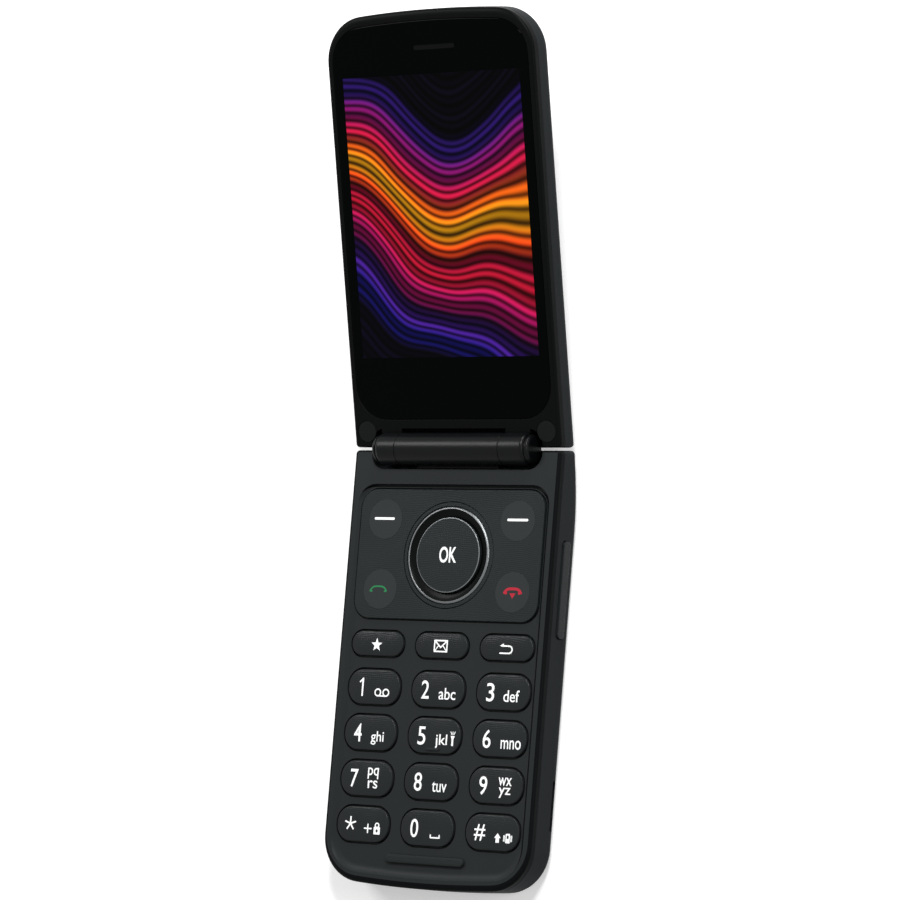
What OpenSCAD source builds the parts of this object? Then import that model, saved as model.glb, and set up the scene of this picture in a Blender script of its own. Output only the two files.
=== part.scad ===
// Flip phone, open at its stop and lying on its back.
// +X runs across the phone, +Y from the keypad end to the lid, +Z out of the keypad face.
// The origin is the centre of the flat rear face of the base.

/* [Halves] */
// Width of the base and of the lid
body_w = 57.1; // [55:0.1:60]
// Length of the base, from its bottom end to its face at the hinge
base_len = 100.9; // [100:0.1:112]
// Length of the lid, from its face at the hinge to its top end
lid_len = 100.7; // [100:0.1:112]
// Thickness of the base, from the rear face to the rim round the keypad
base_t = 10.5; // [10.5:0.1:13]
// Thickness of the lid
lid_t = 7.3; // [7.2:0.1:9]
// Radius of the far corners, seen from the front
corner_r = 10.5; // [8:0.5:13]
// Radius of the slight bow of each far end
bow_r = 260; // [200:10:600]
// Rounding of the front edges
edge_r = 0.75; // [0.4:0.05:1]
// Rounding of the rear edge of the base
base_rear_r = 3; // [1.5:0.1:3.2]
// Rounding of the outer edge of the lid
lid_rear_r = 2.5; // [1:0.1:2.8]
// Depth of the joint line between front and rear housings below the front face
split_drop = 2; // [1.8:0.1:2.4]
// Wall of the housings
wall = 1.2; // [1:0.1:1.5]
// Skin of the rear covers
skin = 1; // [0.8:0.1:1.2]

/* [Hinge] */
// Angle between the two inner faces when the lid rests on its stop
lid_open = 164.6; // [150:0.2:175]
// Height of the hinge axis above the inner face of each half
hinge_rise = 0.25; // [0.2:0.05:0.5]
// Distance from the hinge axis to the end face of each half
hinge_gap = 0.3; // [0.2:0.05:0.6]
// Radius of the hinge barrel and knuckles
barrel_r = 3.77; // [3.6:0.01:4]
// Left end of the middle barrel
barrel_x0 = -14.9; // [-16:0.1:-12]
// Right end of the middle barrel
barrel_x1 = 13.75; // [12:0.05:15]
// Outer end of both knuckles
knuckle_x = 21.7; // [21:0.1:23]
// Clearance between the barrel and the recess it turns in
recess_gap = 0.98; // [0.8:0.01:1.1]
// Length of that recess beyond each knuckle
recess_end_gap = 2; // [1.6:0.1:2.4]
// Rounding of the ends of that recess
recess_end_r = 3.8; // [2:0.1:4]
// Radius of the hinge shaft
shaft_r = 1.4; // [1.2:0.05:1.6]
// Running clearance of the shaft and spigot
run_fit = 0.06; // [0.03:0.01:0.1]
// Radius of the rear curve of the base near the hinge
heel_r = 54; // [40:1:80]
// Length over which the rear face curves up to the hinge
heel_len = 18; // [14:0.5:20]

/* [Keypad] */
// Half width of the recessed keypad tray
tray_half_w = 26.57; // [26.2:0.01:26.8]
// Distance from the hinge axis to the near edge of the tray
tray_near = 8.2; // [7.5:0.1:9]
// Width of the rim at the bottom end of the tray
tray_end_rim = 2.3; // [2:0.1:3]
// Radius of the tray corners near the hinge
tray_near_r = 4.8; // [3:0.1:6]
// Depth of the tray floor below the rim
deck_drop = 0.85; // [0.6:0.05:1]
// Thickness of the tray floor
deck_t = 0.9; // [0.7:0.05:1]
// Column pitch of the number keys
key_pitch_x = 17.91; // [17.5:0.01:18.2]
// Row pitch of the number keys
key_pitch_y = 10.57; // [10:0.01:10.8]
// Distance from the hinge axis to the first number row
number_row_y = 55.57; // [55:0.01:56]
// Width of a number key
number_w = 14.4; // [13.6:0.1:15]
// Height of a number key
number_h = 8.1; // [7.6:0.1:8.6]
// Corner radius of a number key
number_r = 3.7; // [2.5:0.1:3.8]
// Distance from the hinge axis to the function keys
function_row_y = 45.47; // [45:0.01:46]
// Height of a function key
function_h = 5.7; // [5:0.1:6]
// Corner radius of a function key
function_r = 2.6; // [1.5:0.1:2.6]
// Height of the key tops above the rim
key_rise = 0.05; // [0:0.05:0.15]
// Travel of a key
key_travel = 0.3; // [0.2:0.05:0.35]
// Gap round a key
key_gap = 0.15; // [0.1:0.01:0.2]
// Gap round a round key in the navigation panel
disc_gap = 0.06; // [0.05:0.01:0.12]

/* [Navigation panel] */
// Half width of the panel
panel_half_w = 25.4; // [25:0.1:25.8]
// Distance from the hinge axis to the near edge of the panel
panel_near = 9.42; // [9.2:0.01:9.8]
// Distance from the hinge axis to the far edge of the panel
panel_far = 39.56; // [39:0.01:40]
// Corner radius of the panel
panel_r = 4.3; // [3:0.1:6]
// Height of the panel above the tray floor
panel_t = 0.75; // [0.6:0.05:0.8]
// Radius of a round key
disc_r = 4.67; // [4.2:0.01:4.9]
// Distance of the round keys from the middle line
disc_x = 18.36; // [18:0.01:18.8]
// Distance from the hinge axis to the upper round keys
disc_near_y = 16.45; // [16:0.01:17]
// Distance from the hinge axis to the lower round keys
disc_far_y = 32.77; // [32.4:0.01:33.2]
// Distance from the hinge axis to the centre of the navigation ring
ring_y = 24.57; // [24:0.01:25]
// Outer radius of the navigation ring
ring_r = 12.28; // [12:0.01:12.5]
// Radius of the OK key
ok_r = 8.71; // [8:0.01:9]
// Bumper bar length
bumper_w = 21.5; // [16:0.1:24]
// Bumper bar width
bumper_h = 2; // [1.6:0.1:2.4]
// Distance from the hinge axis to the bumper bar
bumper_y = 94.6; // [94.2:0.1:95]

/* [Rear of the base] */
// Distance from the hinge axis to the upper edge of the battery cover
cover_near = 22; // [20:0.5:23]
// Height of the joint line of the battery cover
seam_z = 2.6; // [2.2:0.1:2.8]
// Width of the battery
battery_w = 37; // [34:0.5:38]
// Length of the battery
battery_len = 55; // [50:0.5:56]
// Thickness of the battery
battery_t = 4.1; // [3.6:0.1:4.1]
// Length of the nail notch
notch_len = 11.5; // [8:0.5:14]
// Distance from the hinge axis to the nail notch
notch_y = 80.35; // [70:0.5:86]
// Length of the volume rocker
rocker_len = 22.2; // [18:0.1:24]
// Height of the volume rocker
rocker_h = 3; // [2.4:0.1:3.2]
// Distance from the hinge axis to the middle of the rocker
rocker_y = 31.5; // [30:0.1:36]
// Height that the rocker stands proud of the side
rocker_proud = 0.35; // [0.2:0.05:0.5]

/* [Lid] */
// Half width of the display lens
lens_half_w = 26.94; // [26.6:0.01:27.1]
// Distance from the hinge axis to the near edge of the lens
lens_near = 6.8; // [6.6:0.1:7.6]
// Width of the frame above the lens
lens_end_rim = 2.4; // [2:0.1:3]
// Radius of the lens corners near the hinge
lens_near_r = 7.9; // [6:0.1:9]
// Thickness of the lens
lens_t = 0.85; // [0.7:0.05:0.95]
// Width of the picture on the display
screen_w = 48.8; // [46:0.1:49.5]
// Height of the picture on the display
screen_h = 65.07; // [60:0.01:66]
// Distance from the hinge axis to the bottom of the picture
screen_near = 21.26; // [20.5:0.01:22]
// Distance from the hinge axis to the screw plugs
plug_y = 4; // [3.8:0.1:4.2]
// Distance of the screw plugs from the middle line
plug_x = 24.9; // [24.7:0.1:25]
// Radius of a screw plug
plug_r = 2.5; // [2:0.1:2.5]
// Width of the outer display window
outer_w = 34; // [26:0.5:36]
// Height of the outer display window
outer_h = 26; // [20:0.5:28]
// Distance from the hinge axis to the middle of the outer window
outer_window_y = 58; // [50:1:62]
// Distance from the hinge axis to the camera
camera_y = 84; // [80:1:88]
// Radius of the camera window
camera_r = 4.5; // [3.5:0.1:5]

/* [Hidden] */
$fn = 96;
fine = 720;   // facets of the very large arcs

body_c = [0.11, 0.12, 0.12];
dark_c = [0.05, 0.05, 0.055];
key_c = [0.14, 0.15, 0.15];
metal_c = [0.72, 0.73, 0.75];
board_c = [0.05, 0.3, 0.18];
rubber_c = [0.07, 0.07, 0.07];
glass_c = [0.02, 0.02, 0.03];

// ---- Levels above the rear face, in the base --------------------------------------------------
hinge_y = base_len / 2 + hinge_gap;
hinge_z = base_t + hinge_rise;
recess_r = barrel_r + recess_gap;
recess_x = knuckle_x + recess_end_gap;
split_z = base_t - split_drop;
deck_z = base_t - deck_drop;
deck_under = deck_z - deck_t;
panel_top = deck_z + panel_t;
key_top = base_t + key_rise;
flange_t = 0.65;
flange_top = deck_under - 0.05;
flange_z = flange_top - flange_t;
flange_lip = 0.6;
mat_t = 0.25;
mat_z = flange_z - key_travel - 0.65;
mat_top = mat_z + mat_t;
nub_top = flange_z - key_travel - 0.1;
dome_t = 0.12;
dome_rise = 0.14;
board_t = 0.8;
board_z = mat_z - dome_t - dome_rise - board_t;
floor_t = 0.5;
floor_z = board_z - 0.12 - floor_t;
battery_z = skin + 0.2;

// ---- Places in the base -----------------------------------------------------------------------
end_lift = 0.6;                // extra end wall, for the bow
board_half_w = 22.3;
board_near = 8.5;
board_far = base_len - 4.2;
near_screw = [22, cover_near + 2.6];
screw_r = 0.8;
screw_head_r = 1.5;
screw_head_t = 0.9;
screw_grip = 0.75;             // length of screw above the joint line
lens_screw_head_t = 0.5;
boss_r = 2;
far_screw_in = (corner_r - wall - boss_r - 0.05) * sqrt(0.5);   // from the corner's centre, both ways
far_screw = [body_w / 2 - corner_r + far_screw_in,
             hinge_gap + base_len - end_lift - corner_r + far_screw_in];
end_part_gap = 0.2;            // between the parts at the bottom end and the end wall
solid_near = recess_r + 1.55;  // the housings are solid nearer to the hinge than this
room_inset = wall + 0.6;       // wall of the rooms for the battery and the display
battery_room_near = cover_near + 1.5;
battery_far = base_len - 10.8;
foot_x = [barrel_x0 + 3, barrel_x1 - 3];
foot_t = 1.3;
foot_z = split_z - foot_t + 0.1;
foot_len = 8.6;
usb_w = 8.94;
usb_h = 3;
usb_len = 7;
usb_wall = 0.35;
mic_x = 13.9;
mic_w = 3.8;
mic_t = 1.1;
antenna_x = 18.5;
rocker_z = base_t - 5.3;
rocker_lip = 0.5;
rocker_gap = 0.15;
ring_gap = 0.12;
ring_bore_r = ok_r + 0.14;
ring_flange_r = ring_r + 0.6;
ring_z = flange_z + 0.15;
ring_flange_t = 0.15;
gimbal_z = mat_top + 0.3;
gimbal_t = 0.2;
ok_flange_t = 0.15;
ok_z = mat_top + 0.35;

// ---- Key layout: name, column, row, width, height, corner radius ------------------------------
NUMBERS = ["key_1", "key_2", "key_3", "key_4", "key_5", "key_6", "key_7", "key_8", "key_9",
           "key_star", "key_0", "key_hash"];
FUNCTIONS = ["key_favourites", "key_message", "key_back"];
DISCS = [["key_soft_left", -disc_x, -disc_near_y], ["key_soft_right", disc_x, -disc_near_y],
         ["key_call", -disc_x, -disc_far_y], ["key_end", disc_x, -disc_far_y]];
function number_place(i) = [(i % 3 - 1) * key_pitch_x, -number_row_y - floor(i / 3) * key_pitch_y];
function function_place(i) = [(i - 1) * key_pitch_x, -function_row_y];

// ---- Shared outlines --------------------------------------------------------------------------
// Rectangle centred on the origin with round corners
module round_rect(w, h, r) {
    for (sx = [-1, 1]) for (sy = [-1, 1]) translate([sx * (w / 2 - r), sy * (h / 2 - r)]) circle(r);
    square([w - 2 * r, h], center = true);
    square([w, h - 2 * r], center = true);
}

// Outline with its near edge at y = -near and its far edge, bowed, at y = -far
module bowed_outline(half_w, near, far, near_r, far_r, bow) {
    cx = half_w - far_r;
    lift = bow - sqrt((bow - far_r) * (bow - far_r) - cx * cx);
    tangent_x = cx * bow / (bow - far_r);
    cut = near_r > 0 ? near_r : 0;
    for (s = [-1, 1]) translate([s * cx, -far + lift]) circle(far_r);
    translate([-half_w, -far + lift]) square([2 * half_w, far - lift - near - cut]);
    intersection() {
        translate([0, bow - far]) circle(bow, $fn = fine);
        translate([-tangent_x, -far - 1]) square([2 * tangent_x, lift + 5]);
    }
    if (near_r > 0) {
        for (s = [-1, 1]) translate([s * (half_w - near_r), -near - near_r]) circle(near_r);
        translate([near_r - half_w, -near - near_r - 0.5]) square([2 * (half_w - near_r), near_r + 0.5]);
    }
}

// Outline of a whole half before its end is bowed, drawn in from its edge
module half_outline(len, inset, near = hinge_gap, lift = 0) {
    r = corner_r - inset;
    far = hinge_gap + len - lift;
    cx = body_w / 2 - corner_r;
    for (s = [-1, 1]) translate([s * cx, corner_r - far]) circle(r);
    translate([-cx - r, corner_r - far]) square([2 * (cx + r), far - corner_r - near]);
    translate([-cx, inset - far]) square([2 * cx, r + 1]);
}

// Outline of a room inside a half, whose end wall allows for the bow
module room_outline(len, inset, near) {
    half_outline(len, inset, near, end_lift);
}

// Distance from the hinge axis to the end wall of such a room, x from the middle line
function room_far(len, inset, x) = hinge_gap + len - end_lift - corner_r
    + sqrt(pow(corner_r - inset, 2) - pow(max(0, x - body_w / 2 + corner_r), 2));

// Sweeps a profile round the sides and the far end of a half; x = 0 is the outer edge
module half_sweep(len) {
    cx = body_w / 2 - corner_r;
    far = hinge_gap + len;
    for (s = [0, 1]) mirror([s, 0, 0]) {
        translate([cx, corner_r - far, 0]) rotate([0, 0, -90])
            rotate_extrude(angle = 90) translate([corner_r, 0]) children();
        translate([body_w / 2, -hinge_gap, 0]) rotate([90, 0, 0])
            linear_extrude(far - corner_r - hinge_gap) children();
    }
    translate([-cx, -far, 0]) rotate([90, 0, -90]) mirror([0, 0, 1]) linear_extrude(2 * cx) children();
}

// Keeps what is inside the bow of the far end
module bowed(len) intersection() {
    children();
    translate([0, bow_r - hinge_gap - len, -1]) cylinder(r = bow_r, h = base_t + 2, $fn = fine);
}

// Profile of a wall w thick and h high whose outer upper edge is round
module upper_round(w, h, r) {
    difference() {
        translate([-w, 0]) square([w, h]);
        difference() {
            translate([-r, h - r]) square([r + 1, r + 1]);
            translate([-r, h - r]) circle(r);
        }
    }
}

// The same with its outer lower edge round
module lower_round(w, h, r) {
    translate([0, h]) mirror([0, 1]) upper_round(w, h, r);
}

// Front slab of a half, from its joint line up to its inner face
module front_slab(len, h) bowed(len) union() {
    half_sweep(len) upper_round(edge_r + 1.5, h, edge_r);
    linear_extrude(h) half_outline(len, edge_r + 1);
}

// Rear slab of a half, from its rear face up to its joint line
module rear_slab(len, h, r) bowed(len) union() {
    half_sweep(len) lower_round(r + 1, h, r);
    linear_extrude(h) half_outline(len, r + 0.5);
}

// Room in which the barrel turns, about the hinge axis
module hinge_recess() {
    rotate([0, 90, 0]) rotate_extrude() intersection() {
        union() {
            translate([0, -recess_x + recess_end_r]) square([recess_r, 2 * (recess_x - recess_end_r)]);
            translate([0, -recess_x]) square([recess_r - recess_end_r, 2 * recess_x]);
            for (s = [-1, 1]) translate([recess_r - recess_end_r, s * (recess_x - recess_end_r)])
                circle(recess_end_r);
        }
        translate([0, -recess_x - 1]) square([recess_r + 1, 2 * recess_x + 2]);
    }
}

// Cylinder along X from x0 to x1 about the hinge axis
module axis_rod(x0, x1, r) {
    translate([x0, 0, 0]) rotate([0, 90, 0]) cylinder(r = r, h = x1 - x0);
}

// Places children about the hinge axis, at the base end
module at_axis() {
    translate([0, hinge_y, hinge_z]) children();
}

// Places children in the base: y = 0 at the hinge axis, z = 0 at the rear face
module in_base() {
    translate([0, hinge_y, 0]) children();
}

// Places children in the lid: +y up the lid, z = 0 at the hinge axis
module in_lid() {
    at_axis() rotate([180 - lid_open, 0, 0]) children();
}

// Places children in the lid as a half that points down, z = 0 at the lid's inner face
module in_lid_half() {
    in_lid() translate([0, 0, -hinge_rise]) mirror([0, 1, 0]) children();
}

// Places children on each screw of the base
module base_screw_places() {
    for (p = [near_screw, far_screw]) for (s = [-1, 1]) translate([s * p[0], -p[1], 0]) children();
}

// Room for the bosses that pass through the board
module boss_clearance() {
    base_screw_places() cylinder(r = boss_r + 0.3, h = base_t);
}

// ---- Base ---------------------------------------------------------------------------------------
module tray_outline() {
    bowed_outline(tray_half_w, tray_near, hinge_gap + base_len - tray_end_rim, tray_near_r,
                  corner_r - tray_end_rim, bow_r - tray_end_rim);
}

module key_openings() {
    for (i = [0:11]) translate(number_place(i))
        round_rect(number_w + 2 * key_gap, number_h + 2 * key_gap, number_r + key_gap);
    for (i = [0:2]) translate(function_place(i))
        round_rect(number_w + 2 * key_gap, function_h + 2 * key_gap, function_r + key_gap);
    for (d = DISCS) translate([d[1], d[2]]) circle(disc_r + disc_gap);
    translate([0, -ring_y]) circle(ring_r + ring_gap);
}

module base_front_housing() color(body_c) in_base() difference() {
    translate([0, 0, split_z]) front_slab(base_len, split_drop);
    translate([0, 0, deck_z]) linear_extrude(deck_drop + 1) tray_outline();
    translate([0, 0, split_z - 1]) linear_extrude(deck_under - split_z + 1)
        room_outline(base_len, wall, solid_near);
    translate([0, 0, deck_under - 1]) linear_extrude(deck_t + 2) key_openings();
    translate([0, -bumper_y, deck_z - 0.25]) linear_extrude(1)
        round_rect(bumper_w + 0.1, bumper_h + 0.1, bumper_h / 2);
    translate([0, 0, hinge_z]) hinge_recess();
    translate([foot_x[0] - 0.1, -foot_len, split_z - 1]) cube([foot_x[1] - foot_x[0] + 0.2, foot_len, 1.2]);
    base_screw_places() translate([0, 0, split_z - 1]) cylinder(r = screw_r + 0.05, h = screw_grip + 1.1);
}

// Cutter that leaves the rear face curving up towards the hinge
module heel_cut() {
    depth = 0.12;    // the curve crosses the rear face at a faint edge instead of touching it
    start = sqrt(heel_r * heel_r - (heel_r - depth) * (heel_r - depth));
    translate([-body_w, -heel_len + start, 0]) difference() {
        translate([0, -start, -5]) cube([2 * body_w, heel_len + 5, 12]);
        translate([-1, 0, heel_r - depth]) rotate([0, 90, 0])
            cylinder(r = heel_r, h = 2 * body_w + 2, $fn = fine);
    }
}

module base_rear_housing() color(body_c) in_base() difference() {
    union() {
        difference() {
            rear_slab(base_len, split_z, base_rear_r);
            // the battery cover takes the rear below the seam
            translate([-body_w, -base_len - 5, -1]) cube([2 * body_w, base_len + 5 - cover_near, seam_z + 1]);
            // room for the board
            translate([0, 0, floor_z + floor_t]) linear_extrude(split_z)
                room_outline(base_len, wall, solid_near);
            // room for the battery
            translate([0, 0, -1]) linear_extrude(floor_z + 1)
                room_outline(base_len, room_inset, battery_room_near);
            // room under the board near the hinge
            translate([-board_half_w, -battery_room_near + wall, skin + 0.9])
                cube([2 * board_half_w, battery_room_near - wall - solid_near - 0.4, split_z]);
        }
        base_screw_places() translate([0, 0, seam_z + 0.6]) cylinder(r = boss_r, h = deck_under - seam_z - 0.6);
    }
    heel_cut();
    translate([0, 0, hinge_z]) hinge_recess();
    // foot of the barrel
    translate([foot_x[0] - 0.1, -foot_len, foot_z - 0.1])
        cube([foot_x[1] - foot_x[0] + 0.2, foot_len, foot_t + 1]);
    // screws
    base_screw_places() {
        cylinder(r = screw_r + 0.1, h = base_t);
        cylinder(r = screw_head_r + 0.1, h = seam_z + 1.7);
    }
    // volume rocker and its switch
    translate([body_w / 2 - wall - 2.2, -rocker_y - rocker_len / 2 - 1, rocker_z - rocker_h / 2 - 0.4])
        cube([2.25, rocker_len + 2, rocker_h + 0.8]);
    translate([body_w / 2 - wall - 1, -rocker_y, rocker_z]) rotate([90, 0, 90])
        linear_extrude(wall + 2) round_rect(rocker_len + 2 * rocker_gap, rocker_h + 2 * rocker_gap, 1.1);
    // charging socket, microphone and loudspeaker holes
    translate([-usb_w / 2 - 1, 0.1 - room_far(base_len, wall, 0), floor_z - 0.3])
        cube([usb_w / 2 + 18, 7, floor_t + 0.6]);
    translate([0, 3 - base_len, board_z - usb_h / 2]) rotate([90, 0, 0])
        linear_extrude(6) round_rect(usb_w + 0.2, usb_h + 0.2, 1.3);
    translate([mic_x, 3 - base_len, board_z - 0.65]) rotate([90, 0, 0]) cylinder(r = 0.5, h = 6);
    for (i = [-2:2]) translate([-13 + i * 2, -15.2, -1]) linear_extrude(4) round_rect(0.9, 6, 0.44);
    // nail notch
    translate([body_w / 2 - 1, -notch_y - notch_len / 2, seam_z - 1]) cube([3, notch_len, 1.5]);
}

module battery_cover() color(body_c) in_base() difference() {
    rear_slab(base_len, split_z, base_rear_r);
    translate([-body_w, -base_len - 5, seam_z - 0.05]) cube([2 * body_w, base_len + 10, split_z]);
    translate([-body_w, -cover_near - 0.1, -1]) cube([2 * body_w, cover_near + 5, seam_z + 2]);
    translate([0, 0, skin]) linear_extrude(seam_z) room_outline(base_len, 2.2, cover_near + 1.2);
    translate([body_w / 2 - 1, -notch_y - notch_len / 2, seam_z - 0.8]) cube([3, notch_len, 1.5]);
}

module battery() color([0.2, 0.22, 0.25]) in_base()
    translate([-battery_w / 2, -battery_far, battery_z]) cube([battery_w, battery_len, battery_t]);

module main_board() color(board_c) in_base() difference() {
    translate([-board_half_w, -board_far, board_z])
        cube([2 * board_half_w, board_far - board_near, board_t]);
    boss_clearance();
}

// Places one child on each key centre
module key_centres() {
    for (i = [0:11]) translate(number_place(i)) children();
    for (i = [0:2]) translate(function_place(i)) children();
    for (d = DISCS) translate([d[1], d[2]]) children();
    translate([0, -ring_y]) children();
}

module dome_sheet() color(metal_c) in_base() difference() {
    dome_sheet_solid();
    boss_clearance();
}

module dome_sheet_solid() {
    translate([-board_half_w + 0.5, -board_far + 0.5, board_z + board_t])
        cube([2 * board_half_w - 1, board_far - board_near - 1.5, dome_t]);
    translate([0, 0, board_z + board_t + dome_t - 0.01]) key_centres() cylinder(r = 2, h = dome_rise - 0.04);
}

module keypad_mat() color(rubber_c) in_base() difference() {
    keypad_mat_solid();
    boss_clearance();
}

module keypad_mat_solid() {
    translate([-board_half_w, -board_far, mat_z])
        cube([2 * board_half_w, board_far - board_near - 0.5, mat_t]);
    for (i = [0:11]) translate(number_place(i)) translate([0, 0, mat_z]) cylinder(r = 1.2, h = nub_top - mat_z);
    for (i = [0:2]) translate(function_place(i)) translate([0, 0, mat_z])
        cylinder(r = 1.2, h = nub_top - mat_z);
    for (d = DISCS) translate([d[1], d[2], mat_z]) cylinder(r = 1.2, h = nub_top - mat_z);
}

module nav_panel() color(key_c) in_base() difference() {
    translate([0, -(panel_near + panel_far) / 2, deck_z]) linear_extrude(panel_t)
        round_rect(2 * panel_half_w, panel_far - panel_near, panel_r);
    translate([0, -ring_y, deck_z - 1]) cylinder(r = ring_r + ring_gap, h = 3);
    for (d = DISCS) translate([d[1], d[2], deck_z - 1]) cylinder(r = disc_r + disc_gap, h = 3);
}

module bumper_bar() color(rubber_c) in_base() translate([0, -bumper_y, deck_z - 0.24])
    linear_extrude(base_t - deck_z + 0.24 + hinge_rise) round_rect(bumper_w, bumper_h, bumper_h / 2 - 0.05);

module usb_connector() color(metal_c) in_base()
    translate([0, 0.4 - base_len, board_z - usb_h / 2]) {
        rotate([90, 0, 0]) translate([0, 0, -usb_len]) linear_extrude(usb_len) difference() {
            round_rect(usb_w, usb_h, 1.2);
            round_rect(usb_w - 2 * usb_wall, usb_h - 2 * usb_wall, 1.2 - usb_wall);
        }
        translate([-usb_w / 2 + 0.8, usb_len - 1, -usb_h / 2 + 0.2]) cube([usb_w - 1.6, 1, usb_h - 0.4]);
        translate([-3.3, 1.2, -0.35]) cube([6.6, usb_len - 1.2, 0.7]);
    }

module loudspeaker() color(dark_c) in_base() difference() {
    translate([-19.5, -20.7, skin + 0.9]) cube([13, 11, 3.2]);
    translate([-13, -15.2, skin]) cylinder(r = 4.5, h = 1.5);
}

module microphone() color(metal_c) in_base()
    translate([mic_x - mic_w / 2, end_part_gap - room_far(base_len, room_inset, mic_x + mic_w / 2),
               board_z - mic_t]) cube([mic_w, 3, mic_t]);

module vibration_motor() color(metal_c) in_base()
    translate([14.5, -15, skin + 0.9]) cylinder(r = 4, h = 2.7);

module card_reader() color(metal_c) in_base()
    translate([-18.5, -battery_room_near - 9.2, floor_z - 1.4]) cube([14, 9, 1.4]);

module shield_cans() color(metal_c) in_base() {
    translate([-4.5, -20.5, board_z - 1.4]) cube([13, 11.5, 1.4]);
    translate([-20, -20.5, board_z - 0.9]) cube([13.5, 11.5, 0.9]);
}

module antenna() color([0.6, 0.55, 0.4]) in_base()
    translate([-antenna_x, end_part_gap - room_far(base_len, room_inset, antenna_x), seam_z + 0.2])
        cube([11, 5, floor_z - seam_z - 0.2]);

module screw(head_z, len, head_t) {
    translate([0, 0, head_z]) {
        cylinder(r = screw_head_r, h = head_t);
        cylinder(r = screw_r, h = len);
    }
}

module base_screws() color(metal_c) in_base() base_screw_places()
    screw(seam_z + 1.7 - screw_head_t, split_z + screw_grip - seam_z - 1.7 + screw_head_t, screw_head_t);

// ---- Hinge --------------------------------------------------------------------------------------
spigot_r = 2.4;
spigot_x = -19.6;
cable_r = 1.9;
cam_r = 2.6;
cap_x = knuckle_x - 0.95;
cap_gap = 0.15;
knuckle_gap = 0.1;
knuckles = [[-cap_x + cap_gap, barrel_x0 - knuckle_gap], [barrel_x1 + knuckle_gap, cap_x - cap_gap]];

module hinge_barrel() color(dark_c) {
    at_axis() difference() {
        union() {
            axis_rod(barrel_x0, barrel_x1, barrel_r);
            axis_rod(spigot_x, barrel_x0 + 1, spigot_r);
        }
        axis_rod(spigot_x - 1, 3.5, cable_r);
        axis_rod(3, barrel_x1 + 1, shaft_r + 0.01);
    }
    in_base() difference() {
        translate([foot_x[0], -foot_len + 0.1, foot_z]) cube([foot_x[1] - foot_x[0], foot_len - 2.2, foot_t]);
        translate([0, 0, hinge_z]) axis_rod(-30, 30, barrel_r - 0.5);
    }
}

module hinge_shaft() color(metal_c) at_axis() axis_rod(4, cap_x - 0.3, shaft_r);

module hinge_cam_set() color(metal_c) in_lid() {
    difference() {
        axis_rod(barrel_x1 + knuckle_gap + 0.1, barrel_x1 + 2.8, cam_r);
        axis_rod(0, 30, shaft_r + run_fit);
    }
    difference() {
        axis_rod(barrel_x1 + 2.9, cap_x - 0.3, cam_r - 0.1);
        axis_rod(0, 30, shaft_r + 0.25);
    }
}

module knuckle_caps() color(dark_c) in_lid() for (s = [0, 1]) mirror([s, 0, 0])
    translate([cap_x, 0, 0]) rotate([90, 0, 90]) rotate_extrude() intersection() {
        mirror([1, 0]) upper_round(barrel_r, knuckle_x - cap_x, 0.8);
        translate([-10, -1]) square([20, 5]);
    }

// ---- Moving keys --------------------------------------------------------------------------------
module key_body(w, h, r) {
    translate([0, 0, flange_z]) linear_extrude(flange_t)
        round_rect(w + 2 * flange_lip, h + 2 * flange_lip, r + flange_lip);
    translate([0, 0, flange_top - 0.1]) linear_extrude(key_top - flange_top + 0.1) round_rect(w, h, r);
}

module number_key(i) color(key_c) in_base() translate(number_place(i)) key_body(number_w, number_h, number_r);

module function_key(i) color(key_c) in_base() translate(function_place(i))
    key_body(number_w, function_h, function_r);

module disc_key(i) color(key_c) in_base() translate([DISCS[i][1], DISCS[i][2], 0]) {
    translate([0, 0, flange_z]) cylinder(r = disc_r + 0.5, h = flange_t);
    translate([0, 0, flange_top - 0.1]) cylinder(r = disc_r, h = panel_top - flange_top + 0.1);
}

module nav_gimbal() color(rubber_c) in_base() translate([0, -ring_y, gimbal_z]) difference() {
    cylinder(r = ring_bore_r + 1.6, h = gimbal_t);
    translate([0, 0, -1]) cylinder(r = ring_bore_r + 0.5, h = gimbal_t + 2);
}

module nav_ring() color(dark_c) in_base() translate([0, -ring_y, 0]) rotate_extrude() {
    translate([ring_bore_r, ring_z]) square([ring_r - ring_bore_r, deck_z - ring_z]);
    translate([ring_r - 0.9, deck_z - 0.1]) square([0.9, panel_top - deck_z + 0.1]);
    translate([ring_r - 1.9, deck_z - 0.1]) square([1.1, panel_top + 0.2 - deck_z + 0.1]);
    translate([ring_bore_r, ring_z]) square([ring_flange_r - ring_bore_r, ring_flange_t]);
}

module key_ok() color(key_c) in_base() translate([0, -ring_y, 0]) {
    translate([0, 0, ok_z]) cylinder(r = ok_r + 0.35, h = ok_flange_t);
    translate([0, 0, ok_z]) cylinder(r = ok_r, h = key_top - ok_z);
}

module volume_rocker() color(key_c) in_base() translate([body_w / 2 + rocker_proud, -rocker_y, rocker_z])
    rotate([90, 0, -90]) {
        linear_extrude(rocker_proud + wall + 0.35) round_rect(rocker_len, rocker_h, 1);
        translate([0, 0, rocker_proud + wall + 0.25]) linear_extrude(0.5)
            round_rect(rocker_len + 2 * rocker_lip, rocker_h + 0.4, 1);
    }

module volume_switch() color(board_c) in_base()
    translate([body_w / 2 - wall - 2.15, -rocker_y - 6, rocker_z - 1.2]) cube([1, 12, 2.4]);

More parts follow.
